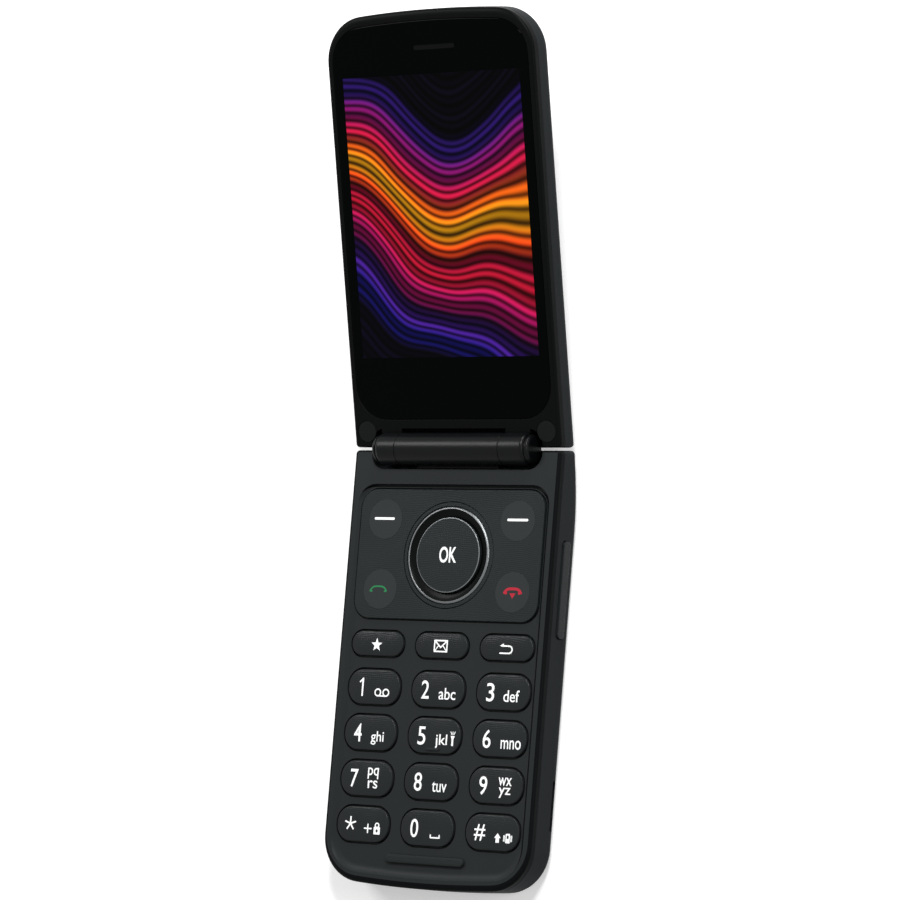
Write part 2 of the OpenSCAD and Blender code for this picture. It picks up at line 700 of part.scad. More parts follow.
// ---- Lid ----------------------------------------------------------------------------------------
lens_seat = lens_t + 0.05;
panel_room = [screen_w + 1.9, screen_h + 5.6];
display_t = 1.8;
display_near = screen_near - 3.4;
frame_t = 0.4;
frame_half_w = 24;
frame_far = room_far(lid_len, room_inset, frame_half_w) - 0.05;
frame_d = lens_seat + display_t + 0.1;
lid_board_d = frame_d + frame_t + 0.1;
lid_board_t = 0.7;
outer_lens_t = 0.9;
lid_screw_top_y = lid_len - 6.5;
lid_screw_top_x = 20;
earpiece_y = 92.4;

module lens_outline(grow) {
    bowed_outline(lens_half_w + grow, lens_near - grow, hinge_gap + lid_len - lens_end_rim + grow,
                  lens_near_r + grow, corner_r - lens_end_rim + grow, bow_r - lens_end_rim + grow);
}

// Display stack outline: y measured down the lid's half
module display_block(w, h, t) {
    translate([-w / 2, -display_near - h, -t]) cube([w, h, t]);
}

module lid_screw_places() {
    for (s = [-1, 1]) {
        translate([s * plug_x, -plug_y, 0]) children();
        translate([s * lid_screw_top_x, -lid_screw_top_y, 0]) children();
    }
}

module lid_front_housing() color(body_c) {
    in_lid_half() difference() {
        translate([0, 0, -split_drop]) front_slab(lid_len, split_drop);
        translate([0, 0, -lens_seat]) linear_extrude(2) lens_outline(0.05);
        translate([0, 0, 1]) display_block(panel_room[0] + 0.3, panel_room[1] + 0.3, 4);
        translate([-6.3, -earpiece_y - 2.2, -4]) cube([12.6, 4.4, 5]);
        translate([0, 0, hinge_rise]) hinge_recess();
        for (s = [-1, 1]) translate([s * plug_x, -plug_y, -0.55]) cylinder(r = plug_r + 0.03, h = 2);
        lid_screw_places() translate([0, 0, -3]) cylinder(r = screw_r + 0.1, h = 4);
        for (s = [-1, 1]) translate([s * plug_x, -plug_y, -0.6 - screw_head_t])
            cylinder(r = screw_head_r + 0.1, h = 2);
        for (s = [-1, 1])
            translate([s * lid_screw_top_x, -lid_screw_top_y, -lens_seat - lens_screw_head_t - 0.05])
                cylinder(r = screw_head_r + 0.1, h = 2);
    }
    in_lid() difference() {
        union() for (k = knuckles) {
            axis_rod(k[0], k[1], barrel_r);
            translate([k[0], 0, -hinge_rise - split_drop]) cube([k[1] - k[0], recess_r + 1, split_drop]);
        }
        axis_rod(-cap_x - 1, barrel_x0 + 1, spigot_r + run_fit);
        axis_rod(barrel_x1 - 1, cap_x + 1, cam_r + 0.02);
    }
}

module lid_rear_cover() color(body_c) in_lid_half() difference() {
    union() {
        difference() {
            translate([0, 0, -lid_t]) rear_slab(lid_len, lid_t - split_drop, lid_rear_r);
            translate([0, 0, -lid_t + skin]) linear_extrude(lid_t)
                room_outline(lid_len, room_inset, solid_near);
        }
        lid_screw_places() translate([0, 0, -lid_t + 0.5]) cylinder(r = boss_r, h = lid_t - split_drop - 0.5);
    }
    lid_screw_places() translate([0, 0, -lid_t + 1.5]) cylinder(r = screw_r + 0.05, h = lid_t);
    translate([0, 0, hinge_rise]) hinge_recess();
    translate([0, -outer_window_y, -lid_t - 1]) linear_extrude(1 + outer_lens_t + 0.05)
        round_rect(outer_w + 0.1, outer_h + 0.1, 3.05);
    translate([0, -outer_window_y, -lid_t - 1]) linear_extrude(4)
        round_rect(outer_w - 3, outer_h - 3, 1.6);
    translate([0, -camera_y, -lid_t - 1]) cylinder(r = camera_r + 0.05, h = 1.8);
    translate([0, -camera_y, -lid_t - 1]) cylinder(r = camera_r - 0.7, h = 4);
    translate([9.5, -camera_y, -lid_t - 1]) cylinder(r = 1.85, h = 4);
}

module display_lens() color(glass_c) in_lid_half()
    translate([0, 0, -lens_t]) linear_extrude(lens_t) difference() {
        lens_outline(0);
        translate([0, -earpiece_y]) round_rect(11.5, 1.1, 0.54);
    }

module display_panel() color([0.3, 0.1, 0.4]) in_lid_half()
    translate([0, 0, -lens_seat]) display_block(panel_room[0], panel_room[1], display_t);

module display_frame() color(metal_c) in_lid_half() difference() {
    translate([-frame_half_w, -frame_far, -frame_d - frame_t]) cube([2 * frame_half_w, frame_far - 9, frame_t]);
    lid_screw_places() translate([0, 0, -20]) cylinder(r = boss_r + 0.3, h = 30);
}

module lid_board() color(board_c) in_lid_half() difference() {
    translate([-23, -lid_len + 5, -lid_board_d - lid_board_t]) cube([46, 57, lid_board_t]);
    lid_screw_places() translate([0, 0, -20]) cylinder(r = boss_r + 0.3, h = 30);
}

module outer_lens() color(glass_c) in_lid_half() translate([0, -outer_window_y, -lid_t])
    linear_extrude(outer_lens_t) round_rect(outer_w, outer_h, 3);

module outer_display() color([0.1, 0.1, 0.15]) in_lid_half()
    translate([-(outer_w - 4) / 2, -outer_window_y - (outer_h - 4) / 2, -lid_t + outer_lens_t + 0.1])
        cube([outer_w - 4, outer_h - 4, lid_t - outer_lens_t - 0.2 - lid_board_d - lid_board_t]);

module camera_module() color(dark_c) in_lid_half() translate([0, -camera_y, -lid_t + 0.9])
    cylinder(r = camera_r - 0.9, h = lid_t - 0.95 - lid_board_d - lid_board_t);

module camera_window() color(glass_c) in_lid_half() translate([0, -camera_y, -lid_t])
    cylinder(r = camera_r, h = 0.75);

module flash_lens() color([0.95, 0.9, 0.7]) in_lid_half() translate([9.5, -camera_y, -lid_t])
    cylinder(r = 1.8, h = 1.6);

module earpiece() color(dark_c) in_lid_half()
    translate([-6, -earpiece_y - 2, -lens_seat - 1.75]) cube([12, 4, 1.7]);

module magnet() color(metal_c) in_lid_half()
    translate([-19, -15.5, -lid_t + skin + 0.02]) cube([6, 4, 1.6]);

module screw_plugs() color(rubber_c) in_lid_half()
    for (s = [-1, 1]) translate([s * plug_x, -plug_y, -0.5]) cylinder(r = plug_r, h = 0.5);

module lid_screws() color(metal_c) in_lid_half() {
    for (s = [-1, 1]) translate([s * plug_x, -plug_y, 0]) mirror([0, 0, 1]) screw(0.57, 4.6, screw_head_t);
    for (s = [-1, 1]) translate([s * lid_screw_top_x, -lid_screw_top_y, 0]) mirror([0, 0, 1])
        screw(lens_seat, 4.3, lens_screw_head_t);
}

base_front_housing();
base_rear_housing();
battery_cover();
battery();
main_board();
dome_sheet();
keypad_mat();
nav_panel();
bumper_bar();
usb_connector();
loudspeaker();
microphone();
vibration_motor();
card_reader();
shield_cans();
antenna();
base_screws();
hinge_barrel();
hinge_shaft();
volume_switch();
volume_rocker();
for (i = [0:11]) number_key(i);
for (i = [0:2]) function_key(i);
for (i = [0:3]) disc_key(i);
nav_gimbal();
nav_ring();
key_ok();
lid_front_housing();
lid_rear_cover();
display_lens();
display_panel();
display_frame();
lid_board();
outer_lens();
outer_display();
camera_module();
camera_window();
flash_lens();
earpiece();
magnet();
screw_plugs();
lid_screws();
knuckle_caps();
hinge_cam_set();
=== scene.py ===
"""Flip phone, open at its stop and lying on its back in a plain pale studio.

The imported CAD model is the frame. The shells, keys, hinge and windows are modelled here as finished
pieces that stand for their CAD nodes, and the parts inside keep their CAD meshes with a finish of
their own. Lengths in the shapes are in millimetres, those in finishes and lamps in metres. In the
shapes y is measured from the hinge axis: a half is drawn pointing towards -y, then put in place.
"""

import logging
import math
from dataclasses import dataclass
from enum import Enum
from typing import Callable, NamedTuple, Sequence

import bmesh
import bpy
from mathutils import Matrix, Vector


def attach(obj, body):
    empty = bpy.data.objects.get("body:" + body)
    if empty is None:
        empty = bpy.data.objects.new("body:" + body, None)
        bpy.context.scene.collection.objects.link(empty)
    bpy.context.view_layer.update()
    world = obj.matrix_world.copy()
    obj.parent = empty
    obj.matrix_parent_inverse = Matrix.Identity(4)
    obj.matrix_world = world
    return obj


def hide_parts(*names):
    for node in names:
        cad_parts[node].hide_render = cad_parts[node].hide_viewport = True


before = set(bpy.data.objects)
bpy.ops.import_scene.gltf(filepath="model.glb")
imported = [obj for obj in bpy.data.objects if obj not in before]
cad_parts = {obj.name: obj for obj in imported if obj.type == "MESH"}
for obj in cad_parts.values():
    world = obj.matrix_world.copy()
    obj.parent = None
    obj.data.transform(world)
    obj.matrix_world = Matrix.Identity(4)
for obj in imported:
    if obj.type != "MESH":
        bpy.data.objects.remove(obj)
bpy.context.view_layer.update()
LOG = logging.getLogger("flip_phone")

MM = 0.001
HALF_W = 28.55
WALL = 1.2
HINGE_Y = 50.75
HINGE_Z = 10.75
HINGE_RISE = 0.25  # of the hinge axis above the lid's front face
LID_RAISE = math.radians(15.4)  # slope of the open lid
BASE_T = 10.5
SPLIT_Z = 8.5  # joint line of the base's two housings
DECK_Z = 9.85  # floor of the keypad tray
PANEL_TOP = 10.40
KEY_TOP = 10.33  # where a key's rounded edge ends and its crown starts
DISC_TOP = 10.43
OK_TOP = 10.622
QUARTER = math.pi / 2
JOINED = 0.01  # points nearer than this are one point
FLAT_FROM = 12.0  # square millimetres from which a face with many corners is shaded flat

Levels = list[tuple[float, float]]
Box = tuple[tuple[float, float, float], tuple[float, float, float]]


class Half(Enum):
    """The half of the phone that a piece is drawn in."""

    BASE = "base"
    LID = "lid"

    @property
    def matrix(self) -> Matrix:
        """Place of the half in the row frame, from millimetres to metres.

        Returns:
            Matrix that takes a sketch of the half to its place.
        """
        if self is Half.BASE:
            place = Matrix.Translation((0, HINGE_Y, 0))
        else:
            place = (
                Matrix.Translation((0, HINGE_Y, HINGE_Z))
                @ Matrix.Rotation(LID_RAISE, 4, "X")
                @ Matrix.Translation((0, 0, -HINGE_RISE))
                @ Matrix.Scale(-1, 4, (0, 1, 0))
            )
        return Matrix.Scale(MM, 4) @ place


class Cut(Enum):
    """What a tool does to the mesh it meets."""

    AWAY = "DIFFERENCE"
    KEEP = "INTERSECT"
    JOIN = "UNION"


class Arc(NamedTuple):
    """Part of a circle in an outline, turned clockwise from its start angle."""

    x: float
    y: float
    r: float
    start: float
    sweep: float
    steps: int


@dataclass(frozen=True)
class Outline:
    """Plan of a half: straight sides, round corners and a slightly bowed far end."""

    half_w: float
    near: float
    far: float
    near_r: float
    far_r: float
    bow: float
    steps: int = 14

    def arcs(self, inset: float = 0.0, end: float = 1.0, near: float = 1.0) -> list[Arc]:
        """Arcs of the outline drawn in from its edge.

        Args:
            inset: Distance that the sides move in.
            end: Share of that distance at the far end.
            near: Share of that distance at the near end.

        Returns:
            The arcs in order, joined by straight lines.
        """
        half_w = self.half_w - inset
        far_r = max(self.far_r - inset, 0.1)
        near_r = max(self.near_r - inset, 0.08)
        bow = self.bow - inset * end
        top = -self.near - inset * near - near_r
        cx = half_w - far_r
        lean = math.asin(cx / (bow - far_r))
        cy = -(self.far - inset * end) + bow - (bow - far_r) * math.cos(lean)
        bow_y = bow - (self.far - inset * end)
        near_steps = max(4, self.steps // 2)
        return [
            Arc(cx, cy, far_r, 0, lean - QUARTER, self.steps),
            Arc(0, bow_y, bow, lean - QUARTER, -2 * lean, 20),
            Arc(-cx, cy, far_r, -QUARTER - lean, lean - QUARTER, self.steps),
            Arc(near_r - half_w, top, near_r, math.pi, -QUARTER, near_steps),
            Arc(half_w - near_r, top, near_r, QUARTER, -QUARTER, near_steps),
        ]


@dataclass(frozen=True)
class Lozenge:
    """Rectangle with round corners about a centre; a circle when its sides are twice its radius."""

    x: float
    y: float
    w: float
    h: float
    r: float
    steps: int = 10

    def arcs(self, inset: float = 0.0) -> list[Arc]:
        """Arcs of the rectangle drawn in from its edge.

        Args:
            inset: Distance that the sides move in.

        Returns:
            The arcs in order, joined by straight lines.
        """
        r = max(self.r - inset, 0.02)
        dx = self.w / 2 - inset - r
        dy = self.h / 2 - inset - r
        return [
            Arc(self.x + dx, self.y - dy, r, 0, -QUARTER, self.steps),
            Arc(self.x - dx, self.y - dy, r, -QUARTER, -QUARTER, self.steps),
            Arc(self.x - dx, self.y + dy, r, math.pi, -QUARTER, self.steps),
            Arc(self.x + dx, self.y + dy, r, QUARTER, -QUARTER, self.steps),
        ]


def circle(x: float, y: float, r: float, steps: int = 12) -> Lozenge:
    """A round plan about a centre."""
    return Lozenge(x, y, 2 * r, 2 * r, r, steps)


def quarter_round(r: float, z: float, steps: int = 6) -> Levels:
    """Insets and heights of a convex rounding that ends level at height z."""
    angles = [QUARTER * i / steps for i in range(steps + 1)]
    return [(r * (1 - math.cos(a)), z - r * (1 - math.sin(a))) for a in angles]


class Sketch:
    """A mesh being modelled, in millimetres, in the frame of a half."""

    def __init__(self) -> None:
        """Starts with an empty mesh."""
        self.bm = bmesh.new()
        self.solid = False

    def ring(self, arcs: Sequence[Arc], z: float) -> list[bmesh.types.BMEdge]:
        """Traces arcs and the straight lines between them at one height.

        Args:
            arcs: Arcs in order round the outline.
            z: Height of the ring.

        Returns:
            The ring's edges.
        """
        bm = self.bm
        first = last = None
        verts: list[bmesh.types.BMVert] = []
        for arc in arcs:
            spot = Vector((arc.x + arc.r * math.cos(arc.start), arc.y + arc.r * math.sin(arc.start), z))
            if last is None or (last.co - spot).length > JOINED:
                start = bm.verts.new(spot)
                verts.append(start)
                if last is not None:
                    bm.edges.new((last, start))
            else:
                start = last
            known = set(bm.verts)
            turned = bmesh.ops.spin(
                bm, geom=[start], cent=(arc.x, arc.y, z), axis=(0, 0, 1), dvec=(0, 0, 0),
                angle=arc.sweep, steps=arc.steps, use_merge=False, use_duplicate=False,
            )
            last = next(v for v in turned["geom_last"] if isinstance(v, bmesh.types.BMVert))
            verts += [v for v in bm.verts if v not in known]
            first = first or start
        if (last.co - first.co).length > JOINED:
            bm.edges.new((last, first))
        else:
            bmesh.ops.weld_verts(bm, targetmap={last: first})
            verts = [v for v in verts if v.is_valid]
        return list({e for v in verts for e in v.link_edges})

    def loft(self, rings: Sequence[list[bmesh.types.BMEdge]]) -> None:
        """Bridges each ring to the next."""
        for low, high in zip(rings, rings[1:]):
            bmesh.ops.bridge_loops(self.bm, edges=low + high)

    def cap(self, ring: list[bmesh.types.BMEdge]) -> None:
        """Closes a ring with one face."""
        bmesh.ops.edgeloop_fill(self.bm, edges=ring)

    def stack(self, plan: Outline | Lozenge, levels: Levels, **share: float) -> "Sketch":
        """Makes a closed solid from levels of one plan.

        Args:
            plan: The outline that every level is drawn in from.
            levels: Inset and height of each level, from one end to the other.
            **share: Shares of the inset at the near and far ends of an Outline.

        Returns:
            The sketch itself.
        """
        rings = [self.ring(plan.arcs(inset, **share), z) for inset, z in levels]
        self.loft(rings)
        self.cap(rings[0])
        self.cap(rings[-1])
        return self

    def box(self, low: Sequence[float], high: Sequence[float]) -> "Sketch":
        """Adds a box between two corners.

        Args:
            low: Corner with the lowest coordinates.
            high: The corner across from it.

        Returns:
            The sketch itself.
        """
        made = bmesh.ops.create_cube(self.bm, size=1.0)
        size = [b - a for a, b in zip(low, high)]
        middle = [(a + b) / 2 for a, b in zip(low, high)]
        bmesh.ops.scale(self.bm, vec=size, verts=made["verts"])
        bmesh.ops.translate(self.bm, vec=middle, verts=made["verts"])
        return self

    def lathe(self, profile: Levels, centre: Vector, axis: Vector, steps: int = 96) -> "Sketch":
        """Turns a closed profile about an axis.

        Args:
            profile: Radius and place along the axis of each point, in order.
            centre: Point on the axis where its places start.
            axis: Direction of the axis, one of the frame's own.
            steps: Facets round the axis.

        Returns:
            The sketch itself.
        """
        bm = self.bm
        out = Vector((0, 0, 1)) if abs(axis.z) < 0.5 else Vector((1, 0, 0))
        verts = [bm.verts.new(centre + out * r + axis * t) for r, t in profile]
        before = set(bm.verts) - set(verts)
        rim = zip(verts, verts[1:] + verts[:1], profile, profile[1:] + profile[:1])
        edges = [bm.edges.new((a, b)) for a, b, p, q in rim if p[0] > 0 or q[0] > 0]
        bmesh.ops.spin(
            bm, geom=verts + edges, cent=centre, axis=axis, dvec=(0, 0, 0), angle=math.tau,
            steps=steps, use_merge=True, use_duplicate=False,
        )
        fresh = [v for v in bm.verts if v not in before]
        bmesh.ops.remove_doubles(bm, verts=fresh, dist=1e-4)
        return self

    def move(self, shift: Sequence[float]) -> "Sketch":
        """Moves the whole mesh."""
        bmesh.ops.translate(self.bm, vec=shift, verts=self.bm.verts)
        return self

    def place(self, matrix: Matrix) -> "Sketch":
        """Puts the whole mesh where a matrix says."""
        bmesh.ops.transform(self.bm, matrix=matrix, verts=self.bm.verts)
        return self

    def add(self, other: bmesh.types.BMesh) -> "Sketch":
        """Takes in the faces of another mesh.

        Args:
            other: The mesh to take in.

        Returns:
            The sketch itself.
        """
        held = bpy.data.meshes.new("held")
        other.to_mesh(held)
        self.bm.from_mesh(held)
        bpy.data.meshes.remove(held)
        return self

    def slice(self, places: Sequence[float], normal: Sequence[float]) -> "Sketch":
        """Cuts new edges across the mesh at distances along a normal.

        Args:
            places: Distances of the cuts.
            normal: Direction across the cuts.

        Returns:
            The sketch itself.
        """
        for place in places:
            geom = list(self.bm.verts) + list(self.bm.edges) + list(self.bm.faces)
            bmesh.ops.bisect_plane(
                self.bm, geom=geom, dist=1e-5, plane_co=[n * place for n in normal], plane_no=normal
            )
        return self

    def warp(self, place: Callable[[Vector], Vector]) -> "Sketch":
        """Moves every vertex to where a function puts it.

        Args:
            place: Gives a vertex its new place.

        Returns:
            The sketch itself.
        """
        for v in self.bm.verts:
            v.co = place(v.co)
        return self

    def soften(self, offset: float, segments: int) -> "Sketch":
        """Bevels the sharp edges.

        Args:
            offset: Width of the bevel.
            segments: Facets across it.

        Returns:
            The sketch itself.
        """
        sharp = [e for e in self.bm.edges if e.calc_face_angle(0) > math.radians(30)]
        bmesh.ops.bevel(
            self.bm, geom=sharp, offset=offset, offset_type="OFFSET", segments=segments, profile=0.5,
            affect="EDGES", clamp_overlap=True, material=-1,
        )
        return self

    def outward(self) -> "Sketch":
        """Merges doubles, but not in a mesh that was cut, and turns every face outwards.

        Returns:
            The sketch itself.
        """
        if not self.solid:
            bmesh.ops.remove_doubles(self.bm, verts=self.bm.verts, dist=1e-4)
        bmesh.ops.recalc_face_normals(self.bm, faces=self.bm.faces)
        return self

    def cut(self, *tools: "Sketch", how: Cut = Cut.AWAY) -> "Sketch":
        """Combines the mesh with closed tools, one after the other.

        Args:
            *tools: Sketches whose solids do the cutting.
            how: What each tool does.

        Returns:
            The sketch itself.
        """
        body = _held_object("body", self)
        for tool in tools:
            cutter = _held_object("tool", tool)
            step = body.modifiers.new("cut", "BOOLEAN")
            step.operation = how.value
            step.solver = "MANIFOLD"
            step.object = cutter
            graph = bpy.context.evaluated_depsgraph_get()
            made = bpy.data.meshes.new_from_object(body.evaluated_get(graph))
            body.modifiers.clear()
            old = body.data
            body.data = made
            bpy.data.meshes.remove(old)
            _drop(cutter)
        self.bm.clear()
        self.bm.from_mesh(body.data)
        _drop(body)
        self.solid = True
        return self


def _held_object(name: str, sketch: Sketch) -> bpy.types.Object:
    """Makes a working object of a sketch's mesh.

    Args:
        name: Name of the object.
        sketch: The mesh to copy.

    Returns:
        The object, linked to the scene.
    """
    sketch.outward()
    mesh = bpy.data.meshes.new(name)
    sketch.bm.to_mesh(mesh)
    held = bpy.data.objects.new(name, mesh)
    bpy.context.scene.collection.objects.link(held)
    return held


def _drop(held: bpy.types.Object) -> None:
    """Removes a working object and its mesh.

    Args:
        held: The object.
    """
    mesh = held.data
    bpy.data.objects.remove(held)
    bpy.data.meshes.remove(mesh)


def cast(
    sketch: Sketch, name: str, half: Half, body: str, finish: "Finish",
    stands_for: Sequence[str] = (), crease: float = 33.0,
) -> None:
    """Turns a sketch into a finished piece in its place.

    Args:
        sketch: The mesh in millimetres.
        name: Name of the piece.
        half: Half that it was drawn in.
        body: CAD body that it rides on.
        finish: Finish that covers it.
        stands_for: CAD nodes that it replaces.
        crease: Angle in degrees above which an edge stays sharp.
    """
    bm = sketch.outward().place(half.matrix).bm
    if half is Half.LID:
        bmesh.ops.reverse_faces(bm, faces=bm.faces)
    for face in bm.faces:
        face.smooth = len(face.verts) <= 4 or face.calc_area() < FLAT_FROM * MM * MM
    for edge in bm.edges:
        edge.smooth = edge.calc_face_angle(0) < math.radians(crease)
    mesh = bpy.data.meshes.new(name)
    bm.to_mesh(mesh)
    piece = bpy.data.objects.new(name, mesh)
    bpy.context.scene.collection.objects.link(piece)
    piece.data.materials.append(finish.material())
    even = piece.modifiers.new("even normals", "WEIGHTED_NORMAL")
    even.keep_sharp = True
    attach(piece, body)
    if stands_for:
        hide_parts(*stands_for)
    LOG.info("%s: %d faces on %s", name, len(mesh.polygons), body)


# ---- Finishes -------------------------------------------------------------------------------------
Socket = bpy.types.NodeSocket
Value = float | Sequence[float] | bpy.types.NodeSocket


class Graph:
    """A node tree being wired."""

    def __init__(self, tree: bpy.types.NodeTree) -> None:
        """Takes the tree that the nodes go in."""
        self.tree = tree

    def put(self, socket: Socket, value: Value) -> None:
        """Links a socket into another, or sets its value.

        Args:
            socket: The input to feed.
            value: Another node's output, or a value.
        """
        if isinstance(value, bpy.types.NodeSocket):
            self.tree.links.new(value, socket)
        else:
            socket.default_value = value

    def node(
        self, kind: str, inputs: dict[str | int, Value] | None = None, **settings: object,
    ) -> bpy.types.Node:
        """Adds a node.

        Args:
            kind: Blender's name for the node's type.
            inputs: Values or sockets for its inputs.
            **settings: Properties of the node.

        Returns:
            The node.
        """
        made = self.tree.nodes.new(kind)
        for key, value in settings.items():
            setattr(made, key, value)
        for key, value in (inputs or {}).items():
            self.put(made.inputs[key], value)
        return made

    def math(self, operation: str, *values: Value) -> Socket:
        """Adds a Math node and gives its result."""
        return self.node("ShaderNodeMath", dict(enumerate(values)), operation=operation).outputs[0]

    def weigh(self, a: Value, share_a: Value, b: Value, share_b: Value) -> Socket:
        """Adds two values, each times its share."""
        return self.math("ADD", self.math("MULTIPLY", a, share_a), self.math("MULTIPLY", b, share_b))

    def ripple(self, angle: Value) -> Socket:
        """The sine of an angle, brought to go from 0 to 1."""
        return self.math("ADD", self.math("MULTIPLY", self.math("SINE", angle), 0.5), 0.5)

    def mix(self, factor: Value, a: Value, b: Value, blend: str = "MIX") -> Socket:
        """Mixes two colours.

        Args:
            factor: Share of the second colour.
            a: First colour.
            b: Second colour.
            blend: How they mix.

        Returns:
            The mixed colour.
        """
        made = self.node("ShaderNodeMix", data_type="RGBA", blend_type=blend)
        for place, value in ((0, factor), (6, a), (7, b)):
            self.put(made.inputs[place], value)
        return made.outputs[2]

    def span(self, value: Value, low: float, high: float) -> Socket:
        """Maps 0 to 1 onto a range."""
        made = self.node("ShaderNodeMapRange", {0: value, 1: 0.0, 2: 1.0, 3: low, 4: high})
        return made.outputs[0]

    def noise(self, vector: Value, scale: Value, detail: float = 2.0) -> Socket:
        """Adds a noise and gives its value."""
        made = self.node("ShaderNodeTexNoise", {"Vector": vector, "Scale": scale, "Detail": detail})
        return made.outputs[0]

    def object_place(self) -> Socket:
        """Position on the object, in metres."""
        return self.node("ShaderNodeTexCoord").outputs["Object"]

    def looked_at(self) -> Socket:
        """One where the camera, gloss or glass looks, zero for the light that falls on things.

        Returns:
            The value.
        """
        rays = self.node("ShaderNodeLightPath").outputs
        others = self.math("MAXIMUM", rays["Is Glossy Ray"], rays["Is Transmission Ray"])
        return self.math("MAXIMUM", rays["Is Camera Ray"], others)


def shared_group(name: str, inputs: dict[str, str], outputs: dict[str, str],
                 wire: Callable[[Graph, bpy.types.Node, bpy.types.Node], None]) -> bpy.types.NodeTree:
    """Builds a shader node group once.

    Args:
        name: Name of the group.
        inputs: Socket type of each input.
        outputs: Socket type of each output.
        wire: Wires the nodes between the group's input and output nodes.

    Returns:
        The group.
    """
    known = bpy.data.node_groups.get(name)
    if known:
        return known
    tree = bpy.data.node_groups.new(name, "ShaderNodeTree")
    for way, sockets in (("INPUT", inputs), ("OUTPUT", outputs)):
        for label, kind in sockets.items():
            tree.interface.new_socket(label, in_out=way, socket_type=kind)
    graph = Graph(tree)
    wire(graph, graph.node("NodeGroupInput"), graph.node("NodeGroupOutput"))
    return tree


def mould_grain() -> bpy.types.NodeTree:
    """Fine spark-eroded grain of a mould, with the slow drift of tone that moulded plastic has.

    Returns:
        The group.
    """

    def wire(graph: Graph, into: bpy.types.Node, out: bpy.types.Node) -> None:
        """Two sizes of noise for the height, a slow one for the tone.

        Args:
            graph: Tree that the nodes go in.
            into: The group's input node.
            out: The group's output node.
        """
        place, scale = into.outputs["Place"], into.outputs["Scale"]
        fine = graph.noise(place, scale)
        coarse = graph.noise(place, graph.math("MULTIPLY", scale, 0.37), 1.0)
        drift = graph.noise(place, into.outputs["Drift"], 3.0)
        graph.put(out.inputs["Height"], graph.weigh(fine, 0.7, coarse, 0.3))
        graph.put(out.inputs["Tone"], graph.weigh(drift, 0.75, coarse, 0.25))

    return shared_group(
        "mould grain",
        {"Place": "NodeSocketVector", "Scale": "NodeSocketFloat", "Drift": "NodeSocketFloat"},
        {"Height": "NodeSocketFloat", "Tone": "NodeSocketFloat"}, wire)


def etched_pattern() -> bpy.types.NodeTree:
    """Fine waving lines crossed by dots, as etched into keys and panels.

    Returns:
        The group.
    """

    def wire(graph: Graph, into: bpy.types.Node, out: bpy.types.Node) -> None:
        """Lines along X that waver slowly, and a dot at each crossing of a fine grid.

        Args:
            graph: Tree that the nodes go in.
            into: The group's input node.
            out: The group's output node.
        """
        place, pitch = into.outputs["Place"], into.outputs["Pitch"]
        split = graph.node("ShaderNodeSeparateXYZ", {0: place})
        turns = graph.math("DIVIDE", math.tau, pitch)
        sway = graph.math("MULTIPLY", graph.noise(place, 90.0, 1.0), 0.0035)
        along = graph.math("MULTIPLY", graph.math("ADD", split.outputs[1], sway), turns)
        across = graph.math("MULTIPLY", graph.math("MULTIPLY", split.outputs[0], turns), 0.8)
        lines = graph.math("SINE", along)
        dots = graph.math("MULTIPLY", graph.math("SINE", across), lines)
        graph.put(out.inputs["Height"], graph.math("ADD", graph.weigh(lines, 0.28, dots, 0.22), 0.5))

    return shared_group(
        "etched pattern", {"Place": "NodeSocketVector", "Pitch": "NodeSocketFloat"},
        {"Height": "NodeSocketFloat"}, wire)


def handling_marks() -> bpy.types.NodeTree:
    """Faint marks of handling on a gloss surface, as a mask.

    Returns:
        The group.
    """

    def wire(graph: Graph, into: bpy.types.Node, out: bpy.types.Node) -> None:
        """Slow patches with a finer break-up inside them.

        Args:
            graph: Tree that the nodes go in.
            into: The group's input node.
            out: The group's output node.
        """
        place = into.outputs["Place"]
        patches = graph.span(graph.noise(place, 38.0, 3.0), -0.9, 1.9)
        broken = graph.math("MULTIPLY", patches, graph.noise(place, 900.0))
        graph.put(out.inputs["Mask"], graph.node("ShaderNodeClamp", {0: broken}).outputs[0])

    return shared_group("handling marks", {"Place": "NodeSocketVector"}, {"Mask": "NodeSocketFloat"}, wire)


def linear(r: int, g: int, b: int) -> tuple[float, float, float, float]:
    """A colour given as seen on a screen, as linear light.

    Args:
        r: Red, from 0 to 255.
        g: Green, from 0 to 255.
        b: Blue, from 0 to 255.

    Returns:
        Red, green, blue and alpha.
    """
    def one(c: float) -> float:
        """One channel."""
        return c / 12.92 if c <= 0.04045 else ((c + 0.055) / 1.055) ** 2.4
    return (one(r / 255), one(g / 255), one(b / 255), 1.0)


